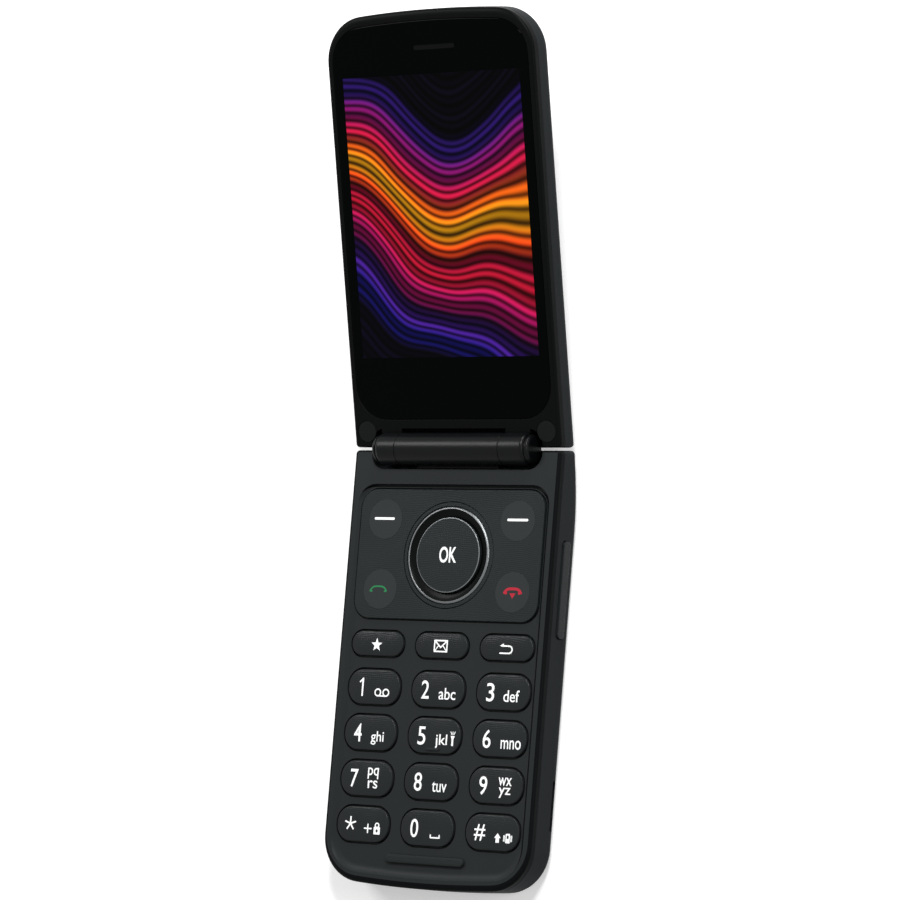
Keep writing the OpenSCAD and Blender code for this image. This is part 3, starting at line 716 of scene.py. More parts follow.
@dataclass(frozen=True)
class Finish:
    """A finish: its name, the record's slot and the numbers set on the shader itself."""

    name: str
    slot: str
    colour: tuple[float, float, float, float]
    roughness: float = 0.5
    specular: float = 0.5
    metallic: float = 0.0

    def material(self) -> bpy.types.Material:
        """The finish as a material, built the first time.

        Returns:
            The material.
        """
        known = bpy.data.materials.get(self.name)
        if known:
            return known
        made = bpy.data.materials.new(self.name)
        made.use_nodes = True
        graph = Graph(made.node_tree)
        shader = made.node_tree.nodes["Principled BSDF"]
        graph.put(shader.inputs["Base Color"], self.colour)
        graph.put(shader.inputs["Roughness"], self.roughness)
        graph.put(shader.inputs["Metallic"], self.metallic)
        graph.put(shader.inputs["Specular IOR Level"], self.specular)
        self.wire(graph, shader)
        return made

    def wire(self, graph: Graph, shader: bpy.types.Node) -> None:
        """Adds what varies over the surface."""

    def tint(self, graph: Graph, tone: Value, spread: float) -> Socket:
        """The colour, lighter and darker by a share of itself as a tone goes from 0 to 1.

        Args:
            graph: Tree that the nodes go in.
            tone: Value from 0 to 1.
            spread: Share of the colour.

        Returns:
            The colour.
        """
        dark = [c * (1 - spread) for c in self.colour[:3]] + [1.0]
        light = [c * (1 + spread) for c in self.colour[:3]] + [1.0]
        return graph.mix(tone, dark, light)

    def roughen(self, graph: Graph, shader: bpy.types.Node, tone: Value, spread: float) -> None:
        """Moves the roughness by a spread either way as a tone goes from 0 to 1."""
        low, high = self.roughness - spread, self.roughness + spread
        graph.put(shader.inputs["Roughness"], graph.span(tone, low, high))

    def bump(self, graph: Graph, shader: bpy.types.Node, height: Value, depth: float) -> None:
        """Feeds a height, of a depth in metres, to the shader's normal."""
        made = graph.node("ShaderNodeBump", {"Height": height, "Distance": depth, "Strength": 1.0})
        graph.put(shader.inputs["Normal"], made.outputs[0])


@dataclass(frozen=True)
class Moulded(Finish):
    """Moulded plastic or rubber with a spark-eroded grain.

    The grain and the drift are noise scales per metre, the depth is in metres, and the spreads are
    shares of the colour and steps of the roughness.
    """

    grain: float = 4200.0
    depth: float = 0.000006
    spread: float = 0.10
    drift: float = 60.0
    rough_spread: float = 0.05

    def grained(self, graph: Graph, place: Socket) -> bpy.types.bpy_prop_collection:
        """The grain's height and tone at a place."""
        inputs = {"Place": place, "Scale": self.grain, "Drift": self.drift}
        return graph.node("ShaderNodeGroup", inputs, node_tree=mould_grain()).outputs

    def wire(self, graph: Graph, shader: bpy.types.Node) -> None:
        """Grain in the normal, drift in the colour and the roughness.

        Args:
            graph: Tree that the nodes go in.
            shader: The material's shader.
        """
        grain = self.grained(graph, graph.object_place())
        graph.put(shader.inputs["Base Color"], self.tint(graph, grain["Tone"], self.spread))
        self.roughen(graph, shader, grain["Tone"], self.rough_spread)
        self.bump(graph, shader, grain["Height"], self.depth)


@dataclass(frozen=True)
class Etched(Moulded):
    """Moulded plastic with a fine etched pattern over its grain: pitch and relief are in metres."""

    pitch: float = 0.00045
    relief: float = 0.00002
    shade: float = 0.12

    def wire(self, graph: Graph, shader: bpy.types.Node) -> None:
        """The etched pattern with the grain over it.

        Args:
            graph: Tree that the nodes go in.
            shader: The material's shader.
        """
        place = graph.object_place()
        grain = self.grained(graph, place)
        inputs = {"Place": place, "Pitch": self.pitch}
        lines = graph.node("ShaderNodeGroup", inputs, node_tree=etched_pattern()).outputs["Height"]
        share = self.shade * 2
        tone = graph.weigh(grain["Tone"], 1 - share, lines, share)
        graph.put(shader.inputs["Base Color"], self.tint(graph, tone, self.spread + self.shade))
        self.roughen(graph, shader, tone, self.rough_spread)
        raised = graph.math("MULTIPLY", lines, self.relief / self.depth)
        self.bump(graph, shader, graph.math("ADD", raised, grain["Height"]), self.depth)


@dataclass(frozen=True)
class Gloss(Finish):
    """Glass or polished plastic with faint marks of handling."""

    marks: float = 0.06

    def wire(self, graph: Graph, shader: bpy.types.Node) -> None:
        """Marks in the roughness and, hardly seen, in the colour.

        Args:
            graph: Tree that the nodes go in.
            shader: The material's shader.
        """
        inputs = {"Place": graph.object_place()}
        mask = graph.node("ShaderNodeGroup", inputs, node_tree=handling_marks()).outputs["Mask"]
        rough = graph.span(mask, self.roughness, self.roughness + self.marks)
        graph.put(shader.inputs["Roughness"], rough)
        graph.put(shader.inputs["Base Color"], self.tint(graph, mask, 0.1))


@dataclass(frozen=True)
class Metal(Finish):
    """Rolled or turned metal with fine lines along one axis of the frame."""

    lines: tuple[float, float, float] = (400.0, 9000.0, 9000.0)
    depth: float = 0.000002

    def wire(self, graph: Graph, shader: bpy.types.Node) -> None:
        """Stretched noise in the roughness, the colour and the normal.

        Args:
            graph: Tree that the nodes go in.
            shader: The material's shader.
        """
        inputs = {"Vector": graph.object_place(), "Scale": self.lines}
        streak = graph.noise(graph.node("ShaderNodeMapping", inputs).outputs[0], 1.0, 3.0)
        graph.put(shader.inputs["Base Color"], self.tint(graph, streak, 0.12))
        self.roughen(graph, shader, streak, 0.08)
        self.bump(graph, shader, streak, self.depth)


@dataclass(frozen=True)
class Laminate(Finish):
    """Circuit board: solder mask over copper tracks."""

    def wire(self, graph: Graph, shader: bpy.types.Node) -> None:
        """A grid of tracks, raised and lighter, broken up by noise.

        Args:
            graph: Tree that the nodes go in.
            shader: The material's shader.
        """
        place = graph.object_place()
        brick = graph.node("ShaderNodeTexBrick", {
            "Vector": place, "Scale": 260.0, "Mortar Size": 0.03, "Mortar Smooth": 0.3,
            "Color1": self.colour, "Color2": [c * 0.82 for c in self.colour[:3]] + [1.0],
            "Mortar": [min(1.0, c * 1.9) for c in self.colour[:3]] + [1.0],
        }).outputs
        colour = graph.mix(graph.noise(place, 300.0), brick["Color"], self.colour)
        graph.put(shader.inputs["Base Color"], colour)
        graph.put(shader.inputs["Roughness"], graph.span(brick["Fac"], 0.35, 0.5))
        self.bump(graph, shader, brick["Fac"], 0.00003)


@dataclass(frozen=True)
class Print(Finish):
    """Printed legend, a little uneven in its ink, with a faint painted glow that makes it read brighter."""

    # Emission strength of the ink: a painted glow that lifts the legend's brightness.
    glow: float = 0.0

    def wire(self, graph: Graph, shader: bpy.types.Node) -> None:
        """Ink density from a fine noise, and a faint painted glow that makes the legend read brighter.

        Args:
            graph: Tree that the nodes go in.
            shader: The material's shader.
        """
        ink = graph.noise(graph.object_place(), 5200.0)
        graph.put(shader.inputs["Base Color"], self.tint(graph, ink, 0.06))
        self.roughen(graph, shader, ink, 0.1)
        graph.put(shader.inputs["Emission Color"], self.tint(graph, ink, 0.05))
        graph.put(shader.inputs["Emission Strength"], self.glow)


PICTURE_STOPS = (
    (0.00, (8, 4, 22)), (0.09, (26, 22, 120)), (0.15, (74, 32, 150)), (0.22, (26, 6, 44)),
    (0.30, (168, 18, 96)), (0.40, (226, 28, 62)), (0.47, (120, 8, 40)), (0.53, (236, 74, 22)),
    (0.60, (255, 176, 24)), (0.66, (250, 104, 20)), (0.73, (214, 26, 70)), (0.82, (142, 20, 112)),
    (0.90, (52, 26, 122)), (1.00, (6, 4, 16)),
)


@dataclass(frozen=True)
class Picture(Finish):
    """Lit display showing a plain generic picture of layered waves."""

    centre: tuple[float, float, float] = (0.0, 0.0, 0.0)
    size: tuple[float, float] = (0.0488, 0.06507)
    light: float = 1.0

    def wire(self, graph: Graph, shader: bpy.types.Node) -> None:
        """Bands of colour that roll across the display, each drawn with fine lines.

        Args:
            graph: Tree that the nodes go in.
            shader: The material's shader.
        """
        place = graph.node("ShaderNodeMapping", {
            "Vector": graph.object_place(), "Location": self.centre,
            "Rotation": (LID_RAISE, 0.0, 0.0), "Scale": (*self.size, 1.0),
        }, vector_type="TEXTURE").outputs[0]
        split = graph.node("ShaderNodeSeparateXYZ", {0: place})
        u, v = split.outputs[0], split.outputs[1]

        def wave(rate: float, lean: float, start: float, height: float) -> Socket:
            """A sine across the display that leans with height."""
            turn = graph.math("ADD", graph.weigh(u, rate, v, lean), start)
            return graph.math("MULTIPLY", graph.math("SINE", turn), height)

        roll = graph.math("ADD", wave(3.1, 1.1, 0.7, 0.17), wave(7.3, -3.0, 2.1, 0.055))
        stir = graph.math("MULTIPLY", graph.math("SUBTRACT", graph.noise(place, 1.7, 1.0), 0.5), 0.16)
        field = graph.math("ADD", graph.math("ADD", graph.math("ADD", v, 0.5), roll), stir)
        fan = graph.math("ADD", graph.math("MULTIPLY", field, 190.0), wave(2.0, 5.0, 0.0, 1.3))
        ridge = graph.span(graph.ripple(fan), 0.12, 1.15)
        wide = graph.span(graph.ripple(graph.math("MULTIPLY", field, 61.0)), 0.3, 1.15)
        depth = graph.math("MULTIPLY", ridge, wide)
        shade = graph.node("ShaderNodeCombineColor", {0: depth, 1: depth, 2: depth}).outputs[0]
        drawn = graph.mix(1.0, self.bands(graph, field), shade, "MULTIPLY")
        graph.put(shader.inputs["Emission Color"], drawn)
        graph.put(shader.inputs["Emission Strength"], self.light)

    def bands(self, graph: Graph, field: Socket) -> Socket:
        """Colours of the bands, along a field that goes from 0 to 1.

        Args:
            graph: Tree that the nodes go in.
            field: Value along the bands.

        Returns:
            The colour.
        """
        made = graph.node("ShaderNodeValToRGB", {0: field})
        ramp = made.color_ramp
        ramp.interpolation = "EASE"
        for place, colour in PICTURE_STOPS[1:-1]:
            ramp.elements.new(place).color = linear(*colour)
        ramp.elements[0].color = linear(*PICTURE_STOPS[0][1])
        ramp.elements[-1].color = linear(*PICTURE_STOPS[-1][1])
        return made.outputs["Color"]


@dataclass(frozen=True)
class Paper(Finish):
    """White studio floor: it keeps the object's shadow, and the camera, glass and gloss see it white."""

    lift: float = 0.4

    def wire(self, graph: Graph, shader: bpy.types.Node) -> None:
        """Adds light of its own for the rays that look at the background.

        Args:
            graph: Tree that the nodes go in.
            shader: The material's shader.
        """
        strength = graph.math("MULTIPLY", graph.looked_at(), self.lift)
        glow = graph.node("ShaderNodeEmission", {"Color": (1, 1, 1, 1), "Strength": strength})
        both = graph.node("ShaderNodeAddShader", {0: shader.outputs[0], 1: glow.outputs[0]})
        out = next(n for n in graph.tree.nodes if n.type == "OUTPUT_MATERIAL")
        graph.put(out.inputs[0], both.outputs[0])


HOUSING = Moulded("housing plastic", "front_housing_plastic", linear(34, 37, 38), 0.42, 0.07)
# RIM is a darker copy of the housing plastic: painted shade on the front housing's outer rounded band.
RIM = Moulded("housing rim painted shade", "front_housing_plastic", linear(9, 11, 12), 0.42, 0.03)
FRAME = Moulded("lid frame plastic", "front_housing_plastic", linear(5, 6, 6), 0.4, 0.04)
SIDES = Moulded("rear housing plastic", "rear_housing_plastic", linear(27, 30, 32), 0.5, 0.04)
BARREL = Moulded("hinge barrel paint", "satin_trim", linear(6, 7, 8), 0.31, 0.12, depth=0.000003)
KEYS = Etched("key plastic", "keypad_plastic", linear(34, 37, 38), 0.22, 0.08)
PANEL = Etched("panel plastic", "keypad_plastic", linear(32, 36, 37), 0.36, 0.08, shade=0.22)
DISCS = Moulded("round key plastic", "keypad_plastic", linear(43, 46, 47), 0.45, 0.08)
TRIM = Gloss("polished trim", "satin_trim", linear(108, 111, 112), 0.34, 0.5, metallic=1.0)
CONE = Gloss("black gloss trim", "satin_trim", linear(4, 5, 5), 0.3, 0.06)
RUBBER = Moulded("black rubber", "black_rubber", linear(36, 39, 39), 0.62, 0.05, depth=0.000008)
PLUG = Moulded("plug rubber", "black_rubber", linear(20, 22, 22), 0.62, 0.05, depth=0.000008)
GLASS = Gloss("black cover glass", "black_glass", linear(1, 2, 2), 0.03, 0.02, marks=0.03)
AMBER = Gloss("flash diffuser", "clear_lens", linear(236, 226, 190), 0.2, 0.5)
STEEL = Metal("bright steel", "inner_metal", linear(178, 180, 184), 0.3, metallic=1.0)
BOARD = Laminate("circuit board", "circuit_board", linear(22, 78, 48), 0.4)
INNER = Moulded("inner plastic", "inner_plastic", linear(30, 31, 33), 0.5, 0.4)
CELL = Moulded("battery film", "inner_plastic", linear(74, 78, 84), 0.4, 0.4, depth=0.000004)
# The inks' glow is painted light that makes the legends read brighter.
WHITE_INK = Print("white legend", "", linear(238, 240, 240), 0.45, 0.4, glow=0.12)
GREEN_INK = Print("green legend", "", linear(8, 108, 58), 0.45, 0.3, glow=0.04)
RED_INK = Print("red legend", "", linear(164, 12, 38), 0.45, 0.3, glow=0.04)
FLOOR = Paper("studio floor", "", (0.8, 0.8, 0.8, 1.0), 0.9, 0.0)


# ---- Base -----------------------------------------------------------------------------------------
AXIS_X = Vector((1, 0, 0))
AXIS_Z = Vector((0, 0, 1))
IN_BASE = Vector((0, 0, HINGE_Z))
IN_LID = Vector((0, 0, HINGE_RISE))
BASE_PLAN = Outline(HALF_W, 0.3, 101.2, 0.9, 10.4, 260.0)
LID_PLAN = Outline(HALF_W, 0.3, 101.0, 0.9, 10.4, 260.0)
FRONT_EDGE = 0.75  # rounding of the front edges
FRONT_SHARE = {"end": 1.9, "near": 0.6}  # of that rounding at the far end and by the hinge
SEAM = 0.12  # chamfer along a joint line
SEAM_GAP = 0.02  # between a housing and the joint line

# A sketch drawn flat goes on the right side, its depth inwards or outwards, or on the far end.
INTO_SIDE = Matrix(((0, 0, -1, HALF_W), (1, 0, 0, 0), (0, 1, 0, 0), (0, 0, 0, 1)))
OUT_OF_SIDE = Matrix(((0, 0, 1, HALF_W), (1, 0, 0, 0), (0, 1, 0, 0), (0, 0, 0, 1)))
INTO_END = Matrix(((1, 0, 0, 0), (0, 0, -1, -97.9), (0, 1, 0, 0), (0, 0, 0, 1)))


def leaned(co: Vector, top: float, start: float = -1.5, run: float = 1.2) -> Vector:
    """Leans the end by the hinge out towards the rear, so that the two ends are parallel at the stop."""
    share = min(1.0, max(0.0, (co.y - start) / run))
    return Vector((co.x, co.y + share * (top - co.z) * math.tan(LID_RAISE / 2), co.z))


def front_levels(split: float, top: float) -> Levels:
    """Insets and heights of a front housing, from its joint line up to its rounded edge."""
    return [(SEAM, split + SEAM_GAP), (0.0, split + SEAM)] + quarter_round(FRONT_EDGE, top)


def rear_levels(r: float, back: float, split: float) -> Levels:
    """Insets and heights of a rear housing, from its rounded back up to its joint line.

    Args:
        r: Radius of the rounding.
        back: Height of the outer face.
        split: Height of the joint line.

    Returns:
        The levels, from the outer face on.
    """
    angles = [QUARTER * (1 - k / 8) for k in range(9)]
    rounding = [(r * (1 - math.cos(a)), back + r * (1 - math.sin(a))) for a in angles]
    return rounding + [(0.0, split - SEAM), (SEAM, split - SEAM_GAP)]


def hinge_room(centre: Vector) -> Sketch:
    """The room that the barrel turns in, with round ends.

    Args:
        centre: Point on the hinge axis.

    Returns:
        The room as a solid.
    """
    reach, half_len, end_r, steps = 4.75, 23.7, 3.8, 10
    angles = [QUARTER * i / steps for i in range(steps + 1)]
    right = [(reach - end_r + end_r * math.cos(a), half_len - end_r + end_r * math.sin(a)) for a in angles]
    profile = [(0.0, -half_len)] + [(r, -t) for r, t in reversed(right)] + right + [(0.0, half_len)]
    return Sketch().lathe(profile, centre, AXIS_X, 72)


def bore(r: float) -> Sketch:
    """A round hole along the hinge axis of the lid."""
    profile = [(0.0, -30.0), (r, -30.0), (r, 30.0), (0.0, 30.0)]
    return Sketch().lathe(profile, IN_LID, AXIS_X, 64)


def fillet_in(width: float, depth: float, z: float, steps: int = 8) -> Levels:
    """Insets and heights of a hollow rounding that meets a floor level, depth below z.

    Args:
        width: How far in the rounding reaches.
        depth: How far down it reaches.
        z: Height of its upper edge.
        steps: Facets across it.

    Returns:
        The levels, from the upper edge on.
    """
    radius = (width * width + depth * depth) / (2 * depth)
    places = [width * i / steps for i in range(steps + 1)]
    return [(w, z - depth + radius - math.sqrt(radius * radius - (width - w) ** 2)) for w in places]


@dataclass
class Tray:
    """The keypad tray sunk in the front of the base."""

    half_w: float = 26.57
    near: float = 8.2
    far: float = 98.9
    near_r: float = 4.7
    far_r: float = 8.1
    flare: float = 1.95
    near_share: float = 0.36

    @property
    def plan(self) -> Outline:
        """Plan of the tray's upper edge."""
        return Outline(self.half_w, self.near, self.far, self.near_r, self.far_r, 257.7)


@dataclass
class KeySpot:
    """A key: its node, its place and its size."""

    node: str
    x: float
    y: float
    w: float
    h: float
    r: float

    def plan(self, grow: float = 0.0) -> Lozenge:
        """Plan of the key, grown all round."""
        return Lozenge(self.x, self.y, self.w + 2 * grow, self.h + 2 * grow, self.r + grow, 9)


PITCH_X = 17.913
NUMBER_ROWS = (-55.565, -66.14, -76.71, -87.29)
NUMBER_SIZE = (14.4, 8.1, 3.7)
FUNCTION_Y = -45.468
FUNCTION_SIZE = (14.4, 5.75, 2.8)
DISC_SIZE = (9.34, 9.34, 4.67)
DISC_X = 18.363
NUMBER_NODES = ("key_1", "key_2", "key_3", "key_4", "key_5", "key_6", "key_7", "key_8", "key_9",
                "key_star", "key_0", "key_hash")
FUNCTION_NODES = ("key_favourites", "key_message", "key_back")
NUMBERS = [
    KeySpot(node, (i % 3 - 1) * PITCH_X, NUMBER_ROWS[i // 3], *NUMBER_SIZE)
    for i, node in enumerate(NUMBER_NODES)
]
FUNCTIONS = [
    KeySpot(node, (i - 1) * PITCH_X, FUNCTION_Y, *FUNCTION_SIZE) for i, node in enumerate(FUNCTION_NODES)
]
DISC_SPOTS = [
    KeySpot("key_soft_left", -DISC_X, -16.445, *DISC_SIZE),
    KeySpot("key_soft_right", DISC_X, -16.445, *DISC_SIZE),
    KeySpot("key_call", -DISC_X, -32.772, *DISC_SIZE),
    KeySpot("key_end", DISC_X, -32.772, *DISC_SIZE),
]
PANEL_Y = -24.49
PANEL_SIZE = (50.8, 30.14)
RING_Y = -24.57
RING_R = 12.28
BUMPER_Y = -94.6
THROUGH: Levels = [(0.0, 8.0), (0.0, 12.0)]  # of an opening through the deck and the panel


@dataclass
class BaseShell:
    """Front housing, rear housing and battery cover of the base."""

    tray: Tray
    room: Outline = Outline(HALF_W - WALL, 6.3, 99.9, 0.8, 9.2, 258.8)
    deck_under: float = 8.75
    key_gap: float = 0.46
    disc_gap: float = 0.06
    ring_gap: float = 0.12
    bumper_seat: tuple[float, float, float] = (21.64, 2.14, 1.06)
    groove_z: float = 9.05
    groove_shift: tuple[float, float, float] = (-0.55, -0.7, 0)
    moat_w: float = 0.76
    moat_r: float = 4.68
    rear_r: float = 3.0
    heel_len: float = 18.0
    heel_r: float = 54.0
    seam_z: float = 2.6
    cover_y: float = -22.0
    board_z: float = 5.92
    battery: Outline = Outline(26.75, 23.5, 99.3, 0.8, 8.6, 258.2)
    cover_room: Outline = Outline(26.35, 23.4, 98.9, 0.8, 8.2, 257.8)
    rocker_hole: Lozenge = Lozenge(-31.5, 5.2, 22.5, 3.3, 1.1)
    socket_hole: Lozenge = Lozenge(0, 6.04, 9.14, 3.2, 1.3)
    voice_hole: Lozenge = circle(13.9, 5.39, 0.5, 6)
    notch_y: tuple[float, float] = (-86.1, -74.6)
    speaker_x: float = -13.0
    slot_pitch: float = 2.0
    near_room: Box = ((-22.3, -22.3, 1.9), (22.3, -6.7, 9.5))
    foot_seat: Box = ((-12.0, -8.6, 7.2), (10.85, 0.5, 9.6))

    def front(self) -> Sketch:
        """Front housing: rim, tray and every opening in the deck.

        Returns:
            The housing.
        """
        shell = Sketch().stack(BASE_PLAN, front_levels(SPLIT_Z, BASE_T), **FRONT_SHARE)
        shell.warp(lambda co: leaned(co, BASE_T))
        under = Sketch().stack(self.room, [(0.0, 7.0), (0.0, self.deck_under)])
        bowl = fillet_in(self.tray.flare, BASE_T - DECK_Z, BASE_T)[::-1] + [(0.0, 12.0)]
        sunk = Sketch().stack(self.tray.plan, bowl, near=self.tray.near_share)
        openings = Sketch()
        for spot in NUMBERS + FUNCTIONS:
            openings.stack(spot.plan(self.key_gap), THROUGH)
        for spot in DISC_SPOTS:
            openings.stack(spot.plan(self.disc_gap), THROUGH)
        openings.stack(circle(0, RING_Y, RING_R + self.ring_gap, 24), THROUGH)
        openings.stack(Lozenge(0, BUMPER_Y, *self.bumper_seat), [(0.0, DECK_Z - 0.25), (0.0, 12.0)])
        return shell.cut(under, sunk, self.shade_groove(), openings, hinge_room(IN_BASE))

    def shade_groove(self) -> Sketch:
        """Narrow grooves: one round the panel, one along the tray's top and right edges.

        Returns:
            The grooves as a solid.
        """
        depth = [(0.0, self.groove_z), (0.0, 12.0)]
        edge = Sketch().stack(self.tray.plan, depth)
        edge.cut(Sketch().stack(self.tray.plan, [(0.0, 8.0), (0.0, 13.0)]).move(self.groove_shift))
        x, y = PANEL_SIZE
        moat = Sketch().stack(Lozenge(0, PANEL_Y, x + self.moat_w, y + self.moat_w, self.moat_r, 12), depth)
        return edge.cut(moat, how=Cut.JOIN)

    def heel(self, co: Vector) -> Vector:
        """Lifts the rear near the hinge, so that it curves up along its heel.

        Args:
            co: Place of a vertex.

        Returns:
            Its new place.
        """
        along = co.y + self.heel_len
        if along <= 0:
            return co
        lift = self.heel_r - math.sqrt(self.heel_r ** 2 - along ** 2)
        return Vector((co.x, co.y, co.z + lift * (1 - co.z / SPLIT_Z)))

    def slab(self) -> Sketch:
        """The rear half of the base as one solid.

        Returns:
            The solid.
        """
        slab = Sketch().stack(BASE_PLAN, rear_levels(self.rear_r, 0.0, SPLIT_Z), near=0.3)
        slab.slice([-self.heel_len + 1.5 * k for k in range(12)], (0, 1, 0))
        return slab.outward().warp(self.heel).warp(lambda co: leaned(co, BASE_T))

    def below(self, y: float, z: float) -> Sketch:
        """Everything beyond a place along the base and below a height."""
        return Sketch().box((-40, -110, -2), (40, y, z))

    def notch(self, low: float, high: float, soft: float) -> Sketch:
        """The nail notch in the right side, between two heights."""
        start, end = self.notch_y
        return Sketch().box((HALF_W - 1, start, low), (30.5, end, high)).soften(soft, 3)

    def end_holes(self) -> Sketch:
        """Openings of the socket and the microphone in the far end."""
        holes = Sketch().stack(self.socket_hole, [(0.0, 0.0), (0.0, 6.0)])
        return holes.stack(self.voice_hole, [(0.0, 0.0), (0.0, 6.0)]).place(INTO_END)

    def speaker_slots(self) -> Sketch:
        """Five slots for the loudspeaker in the rear face.

        Returns:
            The slots as solids.
        """
        slots = Sketch()
        for i in range(-2, 3):
            slot = Lozenge(self.speaker_x + self.slot_pitch * i, -15.2, 0.9, 6.0, 0.44, 6)
            slots.stack(slot, [(0.0, -1.0), (0.0, 3.0)])
        return slots

    def rear(self) -> Sketch:
        """Rear housing, with the rooms for the board and the battery and every opening.

        Returns:
            The housing.
        """
        return self.slab().cut(
            self.below(self.cover_y, self.seam_z + 0.04),
            Sketch().stack(self.room, [(0.0, self.board_z), (0.0, 9.5)]),
            Sketch().stack(self.battery, [(0.0, 1.0), (0.0, 5.42)]),
            Sketch().box(*self.near_room),
            hinge_room(IN_BASE),
            Sketch().stack(self.rocker_hole, [(0.0, -1.0), (0.0, 5.0)]).place(INTO_SIDE),
            self.end_holes(),
            self.speaker_slots(),
            self.notch(1.6, 3.1, 0.5),
            Sketch().box(*self.foot_seat),
        )

    def cover(self) -> Sketch:
        """Battery cover with its nail notch.

        Returns:
            The cover.
        """
        cover = self.slab().cut(self.below(self.cover_y - 0.1, self.seam_z - 0.05), how=Cut.KEEP)
        inside = Sketch().stack(self.cover_room, [(0.0, 1.0), (0.0, 4.0)])
        return cover.cut(inside, self.notch(1.8, 3.3, 0.3))

    def build(self) -> None:
        """Makes the three pieces; the front housing's rim is cast apart from its deck, in a darker copy of
        its plastic that paints shade on the rim.
        """
        inset = FRONT_EDGE - 0.01
        # The outer band takes the darker RIM copy of the plastic, as painted shade; the deck keeps the
        # housing plastic.
        pieces = (("base_front_shell", Cut.KEEP, HOUSING), ("base_front_rim_painted_shade", Cut.AWAY, RIM))
        for name, how, finish in pieces:
            core = Sketch().stack(BASE_PLAN, [(inset, 0.0), (inset, 20.0)], **FRONT_SHARE)
            part = self.front().cut(core, how=how)
            cast(part, name, Half.BASE, "base", finish, ("base_front_housing",))
        cast(self.rear(), "base_rear_shell", Half.BASE, "base", SIDES, ("base_rear_housing",))
        cast(self.cover(), "battery_cover_shell", Half.BASE, "base", SIDES, ("battery_cover",))


